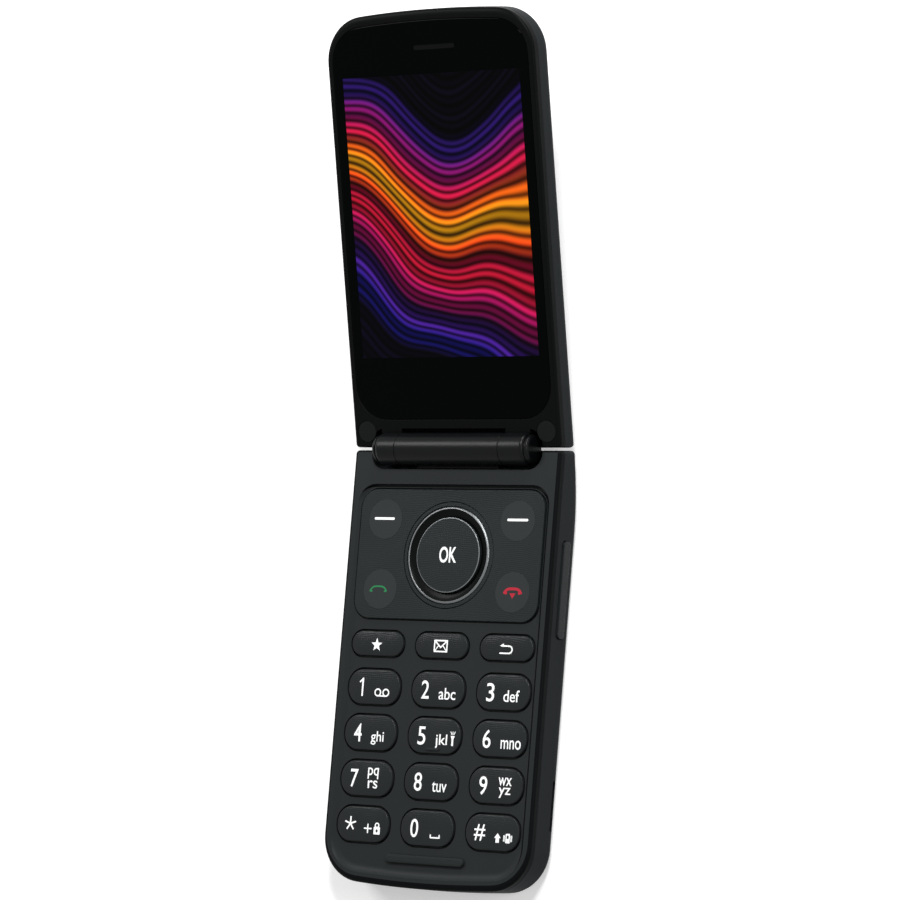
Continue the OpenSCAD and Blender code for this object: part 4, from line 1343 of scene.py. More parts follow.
# ---- Keypad ---------------------------------------------------------------------------------------
@dataclass
class Keypad:
    """Keys, navigation panel and ring, and the bumper bar."""

    edge: float = 0.34
    crown: float = 0.15
    deep: float = 0.93
    flange_z: float = 8.05
    flange_t: float = 0.65
    lip: float = 0.6
    disc_lip: float = 0.5
    disc_gap: float = 0.025
    ring_gap: float = 0.17
    nib_drop: float = 3.1
    nib_size: tuple[float, float, float] = (3.8, 0.62, 0.3)
    bumper: tuple[float, float, float] = (21.5, 2.0, 0.98)

    def height(self, spot: KeySpot, x: float, y: float) -> float:
        """Height of a key's crowned top at a place, by its distance from the key's edge.

        Args:
            spot: The key.
            x: Place across the base.
            y: Place along the base.

        Returns:
            The height.
        """
        qx = abs(x - spot.x) - spot.w / 2 + spot.r
        qy = abs(y - spot.y) - spot.h / 2 + spot.r
        inside = spot.r - math.hypot(max(qx, 0.0), max(qy, 0.0)) - min(max(qx, qy), 0.0)
        share = min(1.0, max(0.0, (inside - self.edge) / (self.deep * spot.r - self.edge)))
        return KEY_TOP + self.crown * (1 - (1 - share) ** 2)

    def flange(self, lip: float) -> Levels:
        """Insets and heights of the flange that keeps a key in its opening."""
        top = self.flange_z + self.flange_t
        return [(-lip, self.flange_z), (-lip, top - 0.05), (-lip / 2, top - 0.03), (0.0, top)]

    def key(self, spot: KeySpot) -> Sketch:
        """A key: flange, straight side, rounded edge and crowned top.

        Args:
            spot: The key.

        Returns:
            The key.
        """
        levels = self.flange(self.lip) + quarter_round(self.edge, KEY_TOP, 5)
        for k in range(1, 9):
            inset = self.edge + (self.deep * spot.r - self.edge) * k / 8
            levels.append((inset, self.height(spot, spot.x, spot.y + spot.h / 2 - inset)))
        return Sketch().stack(spot.plan(), levels)

    def nib(self, spot: KeySpot) -> Sketch:
        """Raised bar near the lower edge of the middle key, for finding it by touch.

        Args:
            spot: The key.

        Returns:
            The bar.
        """
        y = spot.y - self.nib_drop
        base = self.height(spot, spot.x, y) - 0.1
        plan = Lozenge(spot.x, y, *self.nib_size, 6)
        return Sketch().stack(plan, [(0.0, base)] + quarter_round(0.12, base + 0.4, 3))

    def disc(self, spot: KeySpot) -> Sketch:
        """A round key, level with the panel."""
        return Sketch().stack(spot.plan(), self.flange(self.disc_lip) + quarter_round(0.03, DISC_TOP, 2))

    def panel(self) -> Sketch:
        """Navigation panel with its openings.

        Returns:
            The panel.
        """
        plan = Lozenge(0, PANEL_Y, *PANEL_SIZE, 4.3, 12)
        levels = [(0.0, 9.02)] + quarter_round(0.12, PANEL_TOP, 3)
        holes = Sketch()
        for spot in DISC_SPOTS:
            holes.stack(spot.plan(self.disc_gap), THROUGH)
        holes.stack(circle(0, RING_Y, RING_R + self.ring_gap, 24), THROUGH)
        return Sketch().stack(plan, levels).cut(holes)

    def ring(self) -> list[tuple[Sketch, str, Finish]]:
        """The navigation ring's matte collar, polished lip and gloss cone, as radii and heights.

        Returns:
            Sketch, name and finish of each piece.
        """
        collar = [(8.85, 8.2), (12.88, 8.2), (12.88, 8.35), (RING_R, 8.35), (RING_R, PANEL_TOP - 0.08),
                  (RING_R - 0.08, PANEL_TOP), (11.44, PANEL_TOP + 0.01), (11.44, 9.4), (8.85, 9.4)]
        lip = [(10.66, 9.4), (11.28, 9.4), (11.28, PANEL_TOP - 0.14), (11.22, PANEL_TOP - 0.04),
               (10.96, PANEL_TOP + 0.17), (10.88, PANEL_TOP + 0.2), (10.78, PANEL_TOP + 0.2),
               (10.7, PANEL_TOP + 0.14), (10.66, PANEL_TOP + 0.04)]
        cone = [(8.87, 9.42), (10.64, 9.42), (10.64, PANEL_TOP + 0.02), (10.2, 10.16), (9.6, 9.96),
                (9.0, 9.88), (8.87, 9.8)]
        centre = Vector((0, RING_Y, 0))
        return [
            (Sketch().lathe(collar, centre, AXIS_Z, 120), "nav_ring_collar", PANEL),
            (Sketch().lathe(lip, centre, AXIS_Z, 144), "nav_ring_lip", TRIM),
            (Sketch().lathe(cone, centre, AXIS_Z, 120), "nav_ring_cone", CONE),
        ]

    def ok_key(self) -> tuple[Sketch, Sketch]:
        """The OK key and the thin bright chamfer round it.

        Returns:
            The key and its edge.
        """
        centre = Vector((0, RING_Y, 0))
        body = [(0.0, 7.7), (9.06, 7.7), (9.06, 7.85), (8.71, 7.85), (8.71, 10.36), (8.5, 10.56),
                (6.5, 10.6), (3.5, 10.62), (0.0, 10.625)]
        edge = [(8.5, 10.3), (8.715, 10.3), (8.715, 10.48), (8.67, 10.55), (8.6, 10.59), (8.5, 10.585)]
        return Sketch().lathe(body, centre, AXIS_Z, 120), Sketch().lathe(edge, centre, AXIS_Z, 144)

    def bar(self) -> Sketch:
        """Rubber bar that the closed lid rests on."""
        sides = [(0.0, DECK_Z - 0.24)] + quarter_round(0.3, BASE_T + 0.2, 4)
        return Sketch().stack(Lozenge(0, BUMPER_Y, *self.bumper), sides + [(0.6, BASE_T + 0.24)])

    def build(self) -> None:
        """Makes every piece of the keypad."""
        for spot in NUMBERS + FUNCTIONS:
            cast(self.key(spot), spot.node + "_cap", Half.BASE, spot.node, KEYS, (spot.node,), crease=50)
            if spot.node == "key_5":
                cast(self.nib(spot), "key_5_nib", Half.BASE, "key_5", KEYS)
        for spot in DISC_SPOTS:
            cast(self.disc(spot), spot.node + "_cap", Half.BASE, spot.node, DISCS, (spot.node,))
        cast(self.panel(), "nav_panel_plate", Half.BASE, "base", PANEL, ("nav_panel",))
        for sketch, name, finish in self.ring():
            cast(sketch, name, Half.BASE, "nav_ring", finish, ("nav_ring",))
        body, edge = self.ok_key()
        cast(body, "key_ok_cap", Half.BASE, "key_ok", PANEL, ("key_ok",))
        cast(edge, "key_ok_edge", Half.BASE, "key_ok", TRIM)
        cast(self.bar(), "bumper_bar_rubber", Half.BASE, "base", RUBBER, ("bumper_bar",), crease=50)


# ---- Legends --------------------------------------------------------------------------------------
class Mark(NamedTuple):
    """A mark of a legend: what it draws, and the box it fills, from the middle of its key."""

    drawn: str
    x: float
    y: float
    w: float
    h: float


class Pen:
    """Draws the marks as closed solids, each about its own middle."""

    def __init__(self, low: float, high: float, width: float) -> None:
        """Takes the heights of a mark's bottom and top and the width of a line."""
        self.low, self.high, self.width = low, high, width

    def bar(self, x0: float, y0: float, x1: float, y1: float, width: float = 0.0) -> Sketch:
        """A straight line with round ends, from one point to the other.

        Args:
            x0: Start of the line, across.
            y0: Start of the line, along.
            x1: End of the line, across.
            y1: End of the line, along.
            width: Width of the line, or zero for the pen's own.

        Returns:
            The line.
        """
        width = width or self.width
        length = math.hypot(x1 - x0, y1 - y0)
        plan = Lozenge(0, 0, length + width, width, width / 2 - 0.01, 4)
        bar = Sketch().stack(plan, [(0.0, self.low), (0.0, self.high)])
        turn = Matrix.Rotation(math.atan2(y1 - y0, x1 - x0), 3, "Z")
        bmesh.ops.rotate(bar.bm, cent=(0, 0, 0), matrix=turn, verts=bar.bm.verts)
        return bar.move(((x0 + x1) / 2, (y0 + y1) / 2, 0))

    def hoop(self, x: float, y: float, r: float, width: float = 0.0) -> Sketch:
        """A circle drawn with a line.

        Args:
            x: Centre, across.
            y: Centre, along.
            r: Outer radius.
            width: Width of the line, or zero for the pen's own.

        Returns:
            The circle.
        """
        width = width or self.width
        profile = [(r, self.low), (r, self.high), (r - width, self.high), (r - width, self.low)]
        return Sketch().lathe(profile, Vector((x, y, 0)), AXIS_Z, 32)

    def patch(self, points: Sequence[tuple[float, float]]) -> Sketch:
        """A filled shape with a few corners.

        Args:
            points: The corners in order.

        Returns:
            The shape.
        """
        patch = Sketch()
        corners = [patch.bm.verts.new((x, y, self.low)) for x, y in points]
        bmesh.ops.contextual_create(patch.bm, geom=corners)
        return self.thicken(patch)

    def thicken(self, flat: Sketch) -> Sketch:
        """Makes a closed solid from flat faces at the mark's bottom.

        Args:
            flat: The flat faces.

        Returns:
            The same sketch.
        """
        bm = flat.bm
        made = bmesh.ops.extrude_face_region(bm, geom=list(bm.faces), use_keep_orig=True)
        raised = [v for v in made["geom"] if isinstance(v, bmesh.types.BMVert)]
        bmesh.ops.translate(bm, vec=(0, 0, self.high - self.low), verts=raised)
        return flat

    def plate(self, plan: Lozenge, hole: Lozenge) -> Sketch:
        """A filled plan with a hole in it."""
        body = Sketch().stack(plan, [(0.0, self.low), (0.0, self.high)])
        return body.cut(Sketch().stack(hole, [(0.0, -1.0), (0.0, 1.0)]))

    def star(self, w: float, h: float) -> Sketch:
        """A five-pointed star.

        Args:
            w: Width of the mark.
            h: Height of the mark.

        Returns:
            The star.
        """
        star = Sketch()
        made = bmesh.ops.create_circle(star.bm, cap_ends=True, radius=0.5, segments=10)
        points = sorted(made["verts"], key=lambda v: math.atan2(v.co.y, v.co.x))
        bmesh.ops.scale(star.bm, vec=(0.42, 0.42, 1), verts=points[1::2])
        top = max(points[::2], key=lambda v: v.co.y).co
        turn = Matrix.Rotation(QUARTER - math.atan2(top.y, top.x), 3, "Z")
        bmesh.ops.rotate(star.bm, cent=(0, 0, 0), matrix=turn, verts=star.bm.verts)
        bmesh.ops.scale(star.bm, vec=(w / 0.951, h / 0.905, 1), verts=star.bm.verts)
        return self.thicken(star.move((0, -0.05 * h, self.low)))

    def letters(self, body: str, w: float, h: float) -> Sketch:
        """Letters in the built-in font, drawn narrow to fill a box.

        Args:
            body: The letters to draw.
            w: Width of the mark.
            h: Height of the mark.

        Returns:
            The letters.
        """
        curve = bpy.data.curves.new("letters", "FONT")
        curve.body = body
        curve.resolution_u = 5
        curve.offset = 0.018 if body == "OK" else 0.006
        held = bpy.data.objects.new("letters", curve)
        bpy.context.scene.collection.objects.link(held)
        graph = bpy.context.evaluated_depsgraph_get()
        mesh = bpy.data.meshes.new_from_object(held.evaluated_get(graph))
        flat = Sketch()
        flat.bm.from_mesh(mesh)
        bpy.data.objects.remove(held)
        bpy.data.curves.remove(curve)
        bpy.data.meshes.remove(mesh)
        bm = flat.bm
        bmesh.ops.remove_doubles(bm, verts=bm.verts, dist=1e-4)
        xs, ys = [v.co.x for v in bm.verts], [v.co.y for v in bm.verts]
        flat.move((-(min(xs) + max(xs)) / 2, -(min(ys) + max(ys)) / 2, self.low))
        bmesh.ops.scale(bm, vec=(w / (max(xs) - min(xs)), h / (max(ys) - min(ys)), 1), verts=bm.verts)
        return self.thicken(flat)

    def parts(self, drawn: str, w: float, h: float) -> list[Sketch]:
        """The solids that make up a mark.

        Args:
            drawn: Letters, or the name of a sign.
            w: Width of the mark.
            h: Height of the mark.

        Returns:
            The solids, which may overlap.
        """
        a, b, p = w / 2 - self.width / 2, h / 2 - self.width / 2, self.width
        bar, hoop = self.bar, self.hoop
        match drawn:
            case "1":
                return [bar(a * 0.62, -b, a * 0.62, b, p * 1.3), bar(-a, b * 0.62, a * 0.62, b, p * 1.05)]
            case "<star>":
                return [self.star(w, h)]
            case "<loops>":
                r = h / 2
                return [hoop(r - w / 2, 0, r), hoop(w / 2 - r, 0, r), bar(r - w / 2, -b, w / 2 - r, -b)]
            case "<message>":
                return [bar(-a, -b, a, -b), bar(-a, b, a, b), bar(-a, -b, -a, b), bar(a, -b, a, b),
                        bar(-a, b, 0, -b * 0.25), bar(a, b, 0, -b * 0.25),
                        bar(-a, -b, -a * 0.35, b * 0.05, p * 0.7), bar(a, -b, a * 0.35, b * 0.05, p * 0.7)]
            case "<back>":
                bend = [QUARTER - k * math.pi / 8 for k in range(9)]
                r, x = b * 0.8, a - b * 0.8
                arc = [(x + r * math.cos(t), -b + r + r * math.sin(t)) for t in bend]
                run = [(-a * 0.75, -b + 2 * r)] + arc + [(-a, -b)]
                lines = [bar(*p0, *p1) for p0, p1 in zip(run, run[1:])]
                head = [(-w / 2, -b + 2 * r - 0.02), (-w * 0.2, h / 2), (-w * 0.2, -b + 2 * r - 0.02)]
                return lines + [self.patch(head)]
            case "<torch>":
                rays = [bar(x * 0.5, h * 0.3, x, h * 0.47, p * 0.6) for x in (-a, 0.0, a)]
                neck = a * 0.42
                head = [(-a * 0.95, h * 0.2), (a * 0.95, h * 0.2), (neck, -h * 0.04), (-neck, -h * 0.04)]
                stem = [(-neck, h * 0.02), (neck, h * 0.02), (neck, -h / 2), (-neck, -h / 2)]
                return [self.patch(head), self.patch(stem)] + rays
            case "<asterisk>":
                turns = [QUARTER + k * math.tau / 5 for k in range(5)]
                return [bar(0, 0, a * math.cos(t), b * math.sin(t), p * 1.15) for t in turns]
            case "<plus>":
                return [bar(-a, 0, a, 0), bar(0, -b, 0, b)]
            case "<lock>":
                body = Lozenge(0, -h * 0.19, w, h * 0.62, 0.14, 4)
                hole = Lozenge(0, -h * 0.2, w * 0.3, h * 0.24, 0.14, 4)
                shackle = [hoop(0, h / 2 - w * 0.36, w * 0.36, p * 0.85)]
                shackle += [bar(x, h / 2 - w * 0.36, x, 0, p * 0.85) for x in (-w * 0.28, w * 0.28)]
                return [self.plate(body, hole)] + shackle
            case "<space>":
                return [bar(-a, -b, a, -b), bar(-a, -b, -a, b), bar(a, -b, a, b)]
            case "<shift>":
                head = [(-w / 2, 0.0), (w / 2, 0.0), (0.0, h / 2)]
                stem = [(-w * 0.26, 0.1), (w * 0.26, 0.1), (w * 0.26, -h / 2), (-w * 0.26, -h / 2)]
                return [self.patch(head), self.patch(stem)]
            case "<silent>":
                body = Lozenge(0, 0, w * 0.46, h, 0.16, 4)
                hole = Lozenge(0, h * 0.14, w * 0.2, h * 0.34, 0.05, 3)
                shakes = [bar(x, -h * 0.3, x, h * 0.3, p * 0.5) for x in (-a, -w * 0.33, w * 0.33, a)]
                return [self.plate(body, hole)] + shakes
            case "<dash>":
                return [bar(-a, 0, a, 0, h)]
            case "<call>" | "<end>":
                thick = p * (1.15 if drawn == "<call>" else 1.9)
                reach, sag = w / 2 - thick / 2, h * (0.62 if drawn == "<call>" else 0.34)
                xs = [reach * (k / 6 - 1) for k in range(13)]
                run = [(x, h / 2 - thick / 2 - sag * (x / reach) ** 4) for x in xs]
                lines = [bar(*p0, *p1, thick) for p0, p1 in zip(run, run[1:])]
                end = run[0][1]
                lines += [bar(s * reach, end, s * (reach - 0.45), end - 0.1, thick) for s in (-1, 1)]
                if drawn == "<end>":
                    lines.append(self.patch([(-w * 0.16, -h * 0.02), (w * 0.16, -h * 0.02), (0.0, -h / 2)]))
                return lines
        return [self.letters(drawn, w, h)]


@dataclass
class Legend:
    """The marks printed on one key, laid on its top."""

    key: str
    x: float
    y: float
    marks: Sequence[Mark]
    finish: Print
    surface: Callable[[float, float], float]
    grid: float = 0.9
    reach: float = 6.4
    sunk: float = 0.03
    proud: float = 0.012
    line: float = 0.34

    def build(self) -> None:
        """Draws the marks, cuts them up and lays them on the key."""
        pen = Pen(-self.sunk, self.proud, self.line)
        whole = Sketch()
        for mark in self.marks:
            first, *others = pen.parts(mark.drawn, mark.w, mark.h)
            if others:
                first.cut(*others, how=Cut.JOIN)
            else:
                first.outward()
            whole.add(first.move((self.x + mark.x, self.y + mark.y, 0)).bm)
        whole.solid = True
        most = int(self.reach / self.grid) + 1
        steps = [self.grid * k for k in range(-most, most + 1)]
        whole.slice([self.x + step for step in steps], (1, 0, 0))
        whole.slice([self.y + step for step in steps], (0, 1, 0))
        whole.warp(lambda co: Vector((co.x, co.y, co.z + self.surface(co.x, co.y))))
        cast(whole, f"{self.key}_legend", Half.BASE, self.key, self.finish, crease=50)


def digit(drawn: str) -> Mark:
    """The large digit on the left of a number key."""
    return Mark(drawn, -3.3, -0.1, 1.25 if drawn == "1" else 2.15, 4.2)


MARKS: dict[str, list[Mark]] = {
    "key_1": [digit("1"), Mark("<loops>", 2.5, -1.25, 4.15, 1.9)],
    "key_2": [digit("2"), Mark("abc", 2.8, -0.9, 4.6, 2.7)],
    "key_3": [digit("3"), Mark("def", 2.45, -0.8, 4.25, 2.7)],
    "key_4": [digit("4"), Mark("ghi", 2.25, -1.2, 3.6, 3.15)],
    "key_5": [digit("5"), Mark("jkl", 2.15, -1.2, 3.3, 3.2), Mark("<torch>", 5.25, -0.5, 1.5, 3.3)],
    "key_6": [digit("6"), Mark("mno", 3.25, -1.2, 5.4, 2.05)],
    "key_7": [digit("7"), Mark("pq", 1.95, 1.2, 3.0, 2.6), Mark("rs", 2.0, -1.35, 2.7, 1.85)],
    "key_8": [digit("8"), Mark("tuv", 2.65, -1.05, 4.0, 2.35)],
    "key_9": [digit("9"), Mark("wx", 2.55, 1.0, 3.6, 1.9), Mark("yz", 2.6, -1.5, 3.2, 2.35)],
    "key_star": [Mark("<asterisk>", -3.3, 0.0, 3.2, 3.3), Mark("<plus>", 1.65, -0.9, 2.2, 2.2),
                 Mark("<lock>", 4.2, -0.8, 1.75, 2.75)],
    "key_0": [digit("0"), Mark("<space>", 2.5, -1.75, 2.75, 0.9)],
    "key_hash": [Mark("#", -3.25, -0.1, 3.0, 3.7), Mark("<shift>", 1.65, -1.1, 1.75, 2.15),
                 Mark("<silent>", 4.4, -1.1, 2.5, 2.15)],
    "key_favourites": [Mark("<star>", 0.0, -0.2, 3.0, 2.95)],
    "key_message": [Mark("<message>", 0.0, -0.1, 3.8, 2.85)],
    "key_back": [Mark("<back>", 0.05, -0.2, 3.6, 2.4)],
    "key_soft_left": [Mark("<dash>", -0.26, 0.13, 5.45, 0.58)],
    "key_soft_right": [Mark("<dash>", 0.0, 0.2, 5.45, 0.58)],
    "key_call": [Mark("<call>", -0.45, -0.05, 4.9, 1.7)],
    "key_end": [Mark("<end>", 0.1, -0.2, 5.1, 2.6)],
}


def print_legends(keypad: Keypad) -> None:
    """Prints the legend of every key.

    Args:
        keypad: The keypad, which knows the height of its keys' tops.
    """
    inks = {"key_call": GREEN_INK, "key_end": RED_INK}
    for spot in NUMBERS + FUNCTIONS:
        Legend(spot.node, spot.x, spot.y, MARKS[spot.node], WHITE_INK,
               lambda x, y, spot=spot: keypad.height(spot, x, y)).build()
    for spot in DISC_SPOTS:
        Legend(spot.node, spot.x, spot.y, MARKS[spot.node], inks.get(spot.node, WHITE_INK),
               lambda x, y: DISC_TOP).build()
    marks = [Mark("OK", 0.05, 0.05, 4.75, 3.7)]
    Legend("key_ok", 0.0, RING_Y, marks, WHITE_INK, lambda x, y: OK_TOP).build()


# ---- Hinge ----------------------------------------------------------------------------------------
@dataclass
class Hinge:
    """Middle barrel on the base, knuckles and caps on the lid."""

    barrel_r: float = 3.77
    barrel: tuple[float, float] = (-14.9, 13.75)
    knuckle_end: float = 20.6
    cap_end: float = 21.7
    gap: float = 0.1
    cap_gap: float = 0.08
    bore_r: float = 2.64
    foot: Box = ((-11.9, -8.5, 7.3), (10.75, -2.2, 8.5))

    def rod(self, x0: float, x1: float, r: float, near: float, far: float, centre: Vector) -> Sketch:
        """A rod along the hinge axis with rounded ends.

        Args:
            x0: Left end.
            x1: Right end.
            r: Radius.
            near: Rounding of the left end.
            far: Rounding of the right end.
            centre: Point on the axis.

        Returns:
            The rod.
        """
        steps = 6
        angles = [QUARTER * i / steps for i in range(steps + 1)]
        left = [(r - near * (1 - math.sin(a)), x0 + near * (1 - math.cos(a))) for a in angles]
        right = [(r - far * (1 - math.cos(a)), x1 - far * (1 - math.sin(a))) for a in angles]
        return Sketch().lathe([(0.0, x0)] + left + right + [(0.0, x1)], centre, AXIS_X, 96)

    def build(self) -> None:
        """Makes the barrel, its foot, the knuckles and the caps."""
        left, right = self.barrel
        barrel = self.rod(left, right, self.barrel_r, 0.12, 0.12, IN_BASE)
        cast(barrel, "hinge_barrel_sleeve", Half.BASE, "base", BARREL, ("hinge_barrel",))
        foot = Sketch().box(*self.foot)
        foot.cut(self.rod(-30, 30, self.barrel_r + 0.02, 0.1, 0.1, IN_BASE))
        # The foot takes the barrel's dark paint, which also stands as painted shade under the barrel.
        cast(foot, "hinge_barrel_foot", Half.BASE, "base", BARREL)
        ends = ((-self.knuckle_end, left - self.gap, 1.0, 0.12, "left"),
                (right + self.gap, self.knuckle_end, 0.12, 1.0, "right"))
        for x0, x1, near, far, side in ends:
            knuckle = self.rod(x0, x1, self.barrel_r, near, far, IN_LID)
            cast(knuckle.cut(bore(self.bore_r)), f"hinge_knuckle_{side}", Half.LID, "lid", BARREL)
        start = self.knuckle_end + self.cap_gap
        for x0, x1, near, far, side in ((-self.cap_end, -start, 0.8, 0.15, "left"),
                                        (start, self.cap_end, 0.15, 0.8, "right")):
            cap = self.rod(x0, x1, self.barrel_r - 0.45, near, far, IN_LID)
            cast(cap, f"hinge_cap_{side}", Half.LID, "lid", BARREL, ("knuckle_caps",))


# ---- Lid ------------------------------------------------------------------------------------------
@dataclass
class LidShell:
    """Front frame and outer cover of the lid, with the windows in them."""

    thickness: float = 7.3
    rear_r: float = 2.5
    split: float = -2.0
    seat: float = -0.9
    lens: Outline = Outline(26.94, 6.85, 98.6, 7.9, 8.4, 257.6)
    room: Outline = Outline(26.75, 6.3, 99.2, 0.8, 8.6, 258.2)
    screen: tuple[float, float, float, float] = (-24.4, 24.4, 21.26, 86.33)
    earpiece: Lozenge = Lozenge(1.5, -92.4, 11.5, 1.1, 0.54, 8)
    plug: tuple[float, float, float] = (24.9, 3.97, 2.5)
    web_spans: tuple[tuple[float, float], ...] = ((-20.6, -15.0), (13.85, 20.6))
    web_bore: float = 3.7
    display_room: Box = ((-25.5, -89.9, -3.0), (25.5, -17.7, 0.5))
    earpiece_room: Box = ((-6.3, -94.6, -3.0), (6.3, -90.2, 0.5))
    grille: Box = ((-4.4, -93.05, -0.8), (7.4, -91.75, -0.16))
    outer_y: float = -58.0
    outer_size: tuple[float, float, float] = (34, 26, 3)
    camera_y: float = -84.0
    camera_r: float = 4.5
    flash_x: float = 9.5
    flash_r: float = 1.8

    def front(self) -> Sketch:
        """Front frame with its lens seat, the webs of the knuckles and every opening.

        Returns:
            The frame.
        """
        shell = Sketch().stack(LID_PLAN, front_levels(self.split, 0.0), **FRONT_SHARE)
        shell.warp(lambda co: leaned(co, 0.0))
        sides = [(-0.05, self.seat), (-0.05, -0.12), (-0.07, -0.05), (-0.14, 0.001), (-0.14, 1.0)]
        seat = Sketch().stack(self.lens, sides)
        x, y, r = self.plug
        pits = Sketch()
        for side in (-1, 1):
            pit = circle(side * x, -y, r + 0.05, 16)
            pits.stack(pit, [(0.0, -0.55), (0.0, -0.03), (-0.04, 0.001), (-0.04, 1.0)])
        inside = Sketch().box(*self.display_room).box(*self.earpiece_room)
        shell.cut(seat, hinge_room(IN_LID), pits, inside)
        webs = Sketch()
        for x0, x1 in self.web_spans:
            webs.box((x0, -6.2, self.split + 0.01), (x1, -3.2, -0.01))
        return shell.cut(webs.cut(bore(self.web_bore)), how=Cut.JOIN)

    def cover(self) -> Sketch:
        """Outer cover: rounded skin, room inside, seats for the outer window, camera and flash.

        Returns:
            The cover.
        """
        back = -self.thickness
        room = Sketch().stack(self.room, [(0.0, back + 1.0), (0.0, 1.0)])
        seats = Sketch()
        lip = [(-0.16, back - 1.0), (-0.16, back - 0.001), (-0.05, back + 0.1)]
        seats.stack(Lozenge(0, self.outer_y, *self.outer_size), lip + [(-0.05, back + 0.95)])
        seats.stack(circle(0, self.camera_y, self.camera_r, 16), lip + [(-0.05, back + 0.8)])
        seats.stack(circle(self.flash_x, self.camera_y, self.flash_r, 10), lip + [(-0.05, back + 1.9)])
        through = Sketch()
        through.stack(Lozenge(0, self.outer_y, 31, 23, 1.6), [(0.0, back - 1.0), (0.0, back + 3.0)])
        through.stack(circle(0, self.camera_y, 3.8, 16), [(0.0, back - 1.0), (0.0, back + 3.0)])
        skin = Sketch().stack(LID_PLAN, rear_levels(self.rear_r, back, self.split), near=0.36)
        skin.warp(lambda co: leaned(co, 0.0))
        return skin.cut(room, seats, through, hinge_room(IN_LID))

    def lens_parts(self) -> tuple[Sketch, Sketch]:
        """The cover glass round the display, and the part of it that the display lights.

        Returns:
            The glass and the lit part.
        """
        levels = [(0.0, -0.85)] + quarter_round(0.22, -0.01, 4)
        glass = Sketch().stack(self.lens, levels)
        x0, x1, y0, y1 = self.screen
        hole = Sketch().box((x0, -y1, -2.0), (x1, -y0, 1.0))
        slot = Sketch().stack(self.earpiece, [(0.0, -2.0), (0.0, 1.0)])
        glass.cut(hole, slot)
        return glass, Sketch().box((x0, -y1, -0.85), (x1, -y0, -0.01))

    def panes(self) -> list[tuple[str, Lozenge, Finish, str, Levels]]:
        """Name, plan, finish, node and levels, counted from the back, of the panes in the cover.

        Returns:
            One row for each pane.
        """
        camera = circle(0, self.camera_y, self.camera_r, 24)
        flash = circle(self.flash_x, self.camera_y, self.flash_r, 12)
        return [
            ("outer_window_glass", Lozenge(0, self.outer_y, *self.outer_size), GLASS, "outer_lens",
             [(0.25, 0.0), (0.08, 0.06), (0.0, 0.2), (0.0, 0.9)]),
            ("camera_window_glass", camera, GLASS, "camera_window",
             [(0.3, 0.0), (0.08, 0.06), (0.0, 0.2), (0.0, 0.75)]),
            ("flash_diffuser", flash, AMBER, "flash_lens",
             [(0.2, 0.0), (0.05, 0.06), (0.0, 0.16), (0.0, 1.6)]),
        ]

    def build(self) -> None:
        """Makes every piece of the lid."""
        cast(self.front(), "lid_front_frame", Half.LID, "lid", FRAME, ("lid_front_housing",))
        cast(self.cover(), "lid_outer_cover", Half.LID, "lid", SIDES, ("lid_rear_cover",))
        glass, lit = self.lens_parts()
        cast(glass, "display_glass", Half.LID, "lid", GLASS, ("display_lens",))
        x0, x1, y0, y1 = self.screen
        middle = Half.LID.matrix @ Vector(((x0 + x1) / 2, -(y0 + y1) / 2, 0))
        shown = Picture("lit display", "display", linear(1, 1, 1), 0.04, 0.03, centre=tuple(middle))
        cast(lit, "display_picture", Half.LID, "lid", shown)
        cast(Sketch().box(*self.grille), "earpiece_grille", Half.LID, "lid", CONE)
        x, y, r = self.plug
        for side, name in ((-1, "left"), (1, "right")):
            plug = Sketch()
            plug.stack(circle(side * x, -y, r - 0.03, 16), [(0.0, -0.5)] + quarter_round(0.12, -0.03, 3))
            cast(plug, f"screw_plug_{name}", Half.LID, "lid", PLUG, ("screw_plugs",))
        for name, plan, finish, node, levels in self.panes():
            pane = Sketch().stack(plan, [(inset, z - self.thickness) for inset, z in levels])
            cast(pane, name, Half.LID, "lid", finish, (node,))


@dataclass
class Rocker:
    """Volume rocker in the right side of the base."""

    y: float = -31.5
    z: float = 5.02
    length: float = 22.2
    height: float = 2.6
    proud: float = 0.35

    def build(self) -> None:
        """Makes the rocker with its flange."""
        cap = Sketch()
        plan = Lozenge(self.y, self.z, self.length, self.height, 1.0)
        wide = Lozenge(self.y, self.z, self.length + 1.0, self.height + 0.4, 1.0)
        cap.stack(plan, [(0.0, -1.7)] + quarter_round(0.15, self.proud, 3) + [(0.5, self.proud)])
        flange = Sketch().stack(wide, [(0.0, -1.95), (0.0, -1.5)])
        cap.cut(flange, how=Cut.JOIN)
        cap.place(OUT_OF_SIDE)
        cast(cap, "volume_rocker_cap", Half.BASE, "volume_rocker", KEYS, ("volume_rocker",), crease=50)


# ---- Studio ---------------------------------------------------------------------------------------
class Lamp(NamedTuple):
    """A soft rectangular lamp: place, point it faces, width and height in metres, and watts."""

    name: str
    place: tuple[float, float, float]
    aim: tuple[float, float, float]
    size: tuple[float, float]
    power: float


LAMPS = (
    Lamp("key", (0.42, 0.7, 0.85), (0, 0.05, 0), (0.17, 0.17), 8.5),
    Lamp("top", (0.25, 0.95, 0.35), (0, 0.0, 0), (0.26, 0.2), 4.0),
    Lamp("side", (0.8, 0.12, 0.52), (0, 0.03, 0), (0.2, 0.3), 1.6),
    Lamp("strip", (-0.5, 0.42, 0.65), (0, 0.05, 0.01), (0.3, 0.2), 3.0),
)


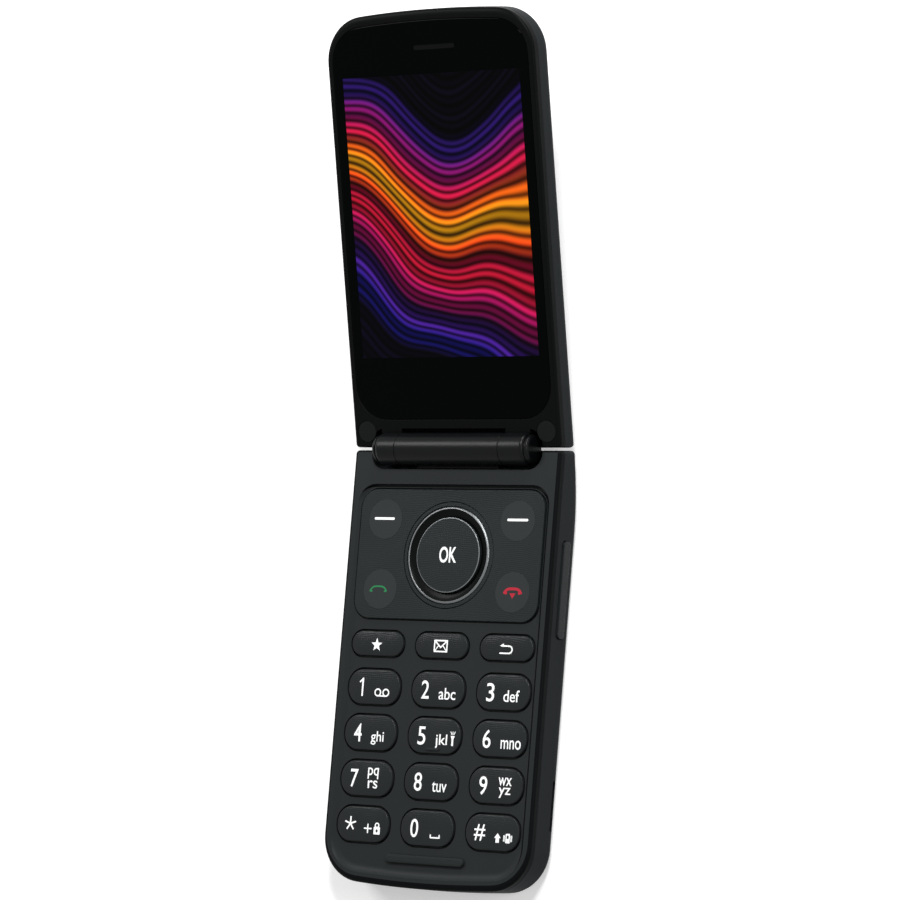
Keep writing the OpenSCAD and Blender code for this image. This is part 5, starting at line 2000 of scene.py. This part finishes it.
@dataclass
class Studio:
    """Camera, lamps, world and floor."""

    focal_px: float = 3989.485
    frame_px: float = 900.0
    sensor: float = 36.0
    yaw: float = -34.458
    pitch: float = -6.549
    roll: float = -4.581
    shift: tuple[float, float, float] = (1.488, 0.206, -919.385)
    floor_half: float = 1.6

    def camera(self) -> None:
        """Sets the camera where the photograph was taken from."""
        turn = (Matrix.Rotation(math.radians(self.roll), 3, "Z")
                @ Matrix.Rotation(math.radians(self.pitch), 3, "X")
                @ Matrix.Rotation(math.radians(self.yaw), 3, "Y"))
        back = turn.transposed()
        stand = back @ -Vector(self.shift)
        stand = (stand + Vector((0, HINGE_Y, BASE_T))) * MM
        data = bpy.data.cameras.new("camera")
        data.sensor_width = self.sensor
        data.lens = self.sensor * self.focal_px / self.frame_px
        data.clip_start, data.clip_end = 0.05, 20
        camera = bpy.data.objects.new("camera", data)
        camera.matrix_world = Matrix.Translation(stand) @ back.to_4x4()
        bpy.context.scene.collection.objects.link(camera)
        bpy.context.scene.camera = camera

    def light(self, lamp: Lamp) -> None:
        """Sets up a lamp.

        Args:
            lamp: The lamp.
        """
        data = bpy.data.lights.new(lamp.name, "AREA")
        data.shape, data.energy = "RECTANGLE", lamp.power
        data.size, data.size_y = lamp.size
        held = bpy.data.objects.new(lamp.name, data)
        held.location = lamp.place
        way = Vector(lamp.aim) - Vector(lamp.place)
        held.rotation_euler = way.to_track_quat("-Z", "Y").to_euler()
        bpy.context.scene.collection.objects.link(held)

    def world(self) -> None:
        """Even pale light, white wherever the camera, glass or gloss looks at it."""
        world = bpy.data.worlds.new("studio")
        bpy.context.scene.world = world
        world.use_nodes = True
        graph = Graph(world.node_tree)
        back = world.node_tree.nodes["Background"]
        graph.put(back.inputs["Color"], (1, 1, 1, 1))
        graph.put(back.inputs["Strength"], graph.span(graph.looked_at(), 0.3, 1.0))

    def floor(self) -> None:
        """White floor under the phone."""
        bm = bmesh.new()
        bmesh.ops.create_grid(bm, x_segments=1, y_segments=1, size=self.floor_half)
        bmesh.ops.translate(bm, vec=(0, 0, -0.0001), verts=bm.verts)
        mesh = bpy.data.meshes.new("floor")
        bm.to_mesh(mesh)
        floor = bpy.data.objects.new("floor", mesh)
        bpy.context.scene.collection.objects.link(floor)
        floor.data.materials.append(FLOOR.material())

    def build(self) -> None:
        """Sets everything up."""
        bpy.context.scene.view_settings.view_transform = "Standard"
        self.camera()
        self.world()
        self.floor()
        for lamp in LAMPS:
            self.light(lamp)


INSIDE = {
    STEEL: ("usb_connector", "card_reader", "shield_cans", "base_screws", "hinge_shaft", "hinge_cam_set",
            "lid_screws", "display_frame", "vibration_motor", "magnet", "microphone"),
    BOARD: ("main_board", "lid_board", "volume_switch"),
    INNER: ("loudspeaker", "earpiece", "camera_module", "outer_display", "display_panel", "antenna"),
    RUBBER: ("keypad_mat", "nav_gimbal"),
    CELL: ("battery", "dome_sheet"),
}


def dress_inside() -> None:
    """Gives the CAD nodes that stay their finishes."""
    for finish, nodes in INSIDE.items():
        for name in nodes:
            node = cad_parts[name]
            node.data.materials.clear()
            node.data.materials.append(finish.material())
            LOG.info("%s: CAD mesh, %s", name, finish.name)


def main() -> None:
    """Builds the phone and the studio."""
    logging.basicConfig(level=logging.INFO, format="%(name)s %(message)s")
    Studio().build()
    dress_inside()
    BaseShell(Tray()).build()
    keypad = Keypad()
    keypad.build()
    print_legends(keypad)
    Hinge().build()
    LidShell().build()
    Rocker().build()


if __name__ == "__main__":
    main()
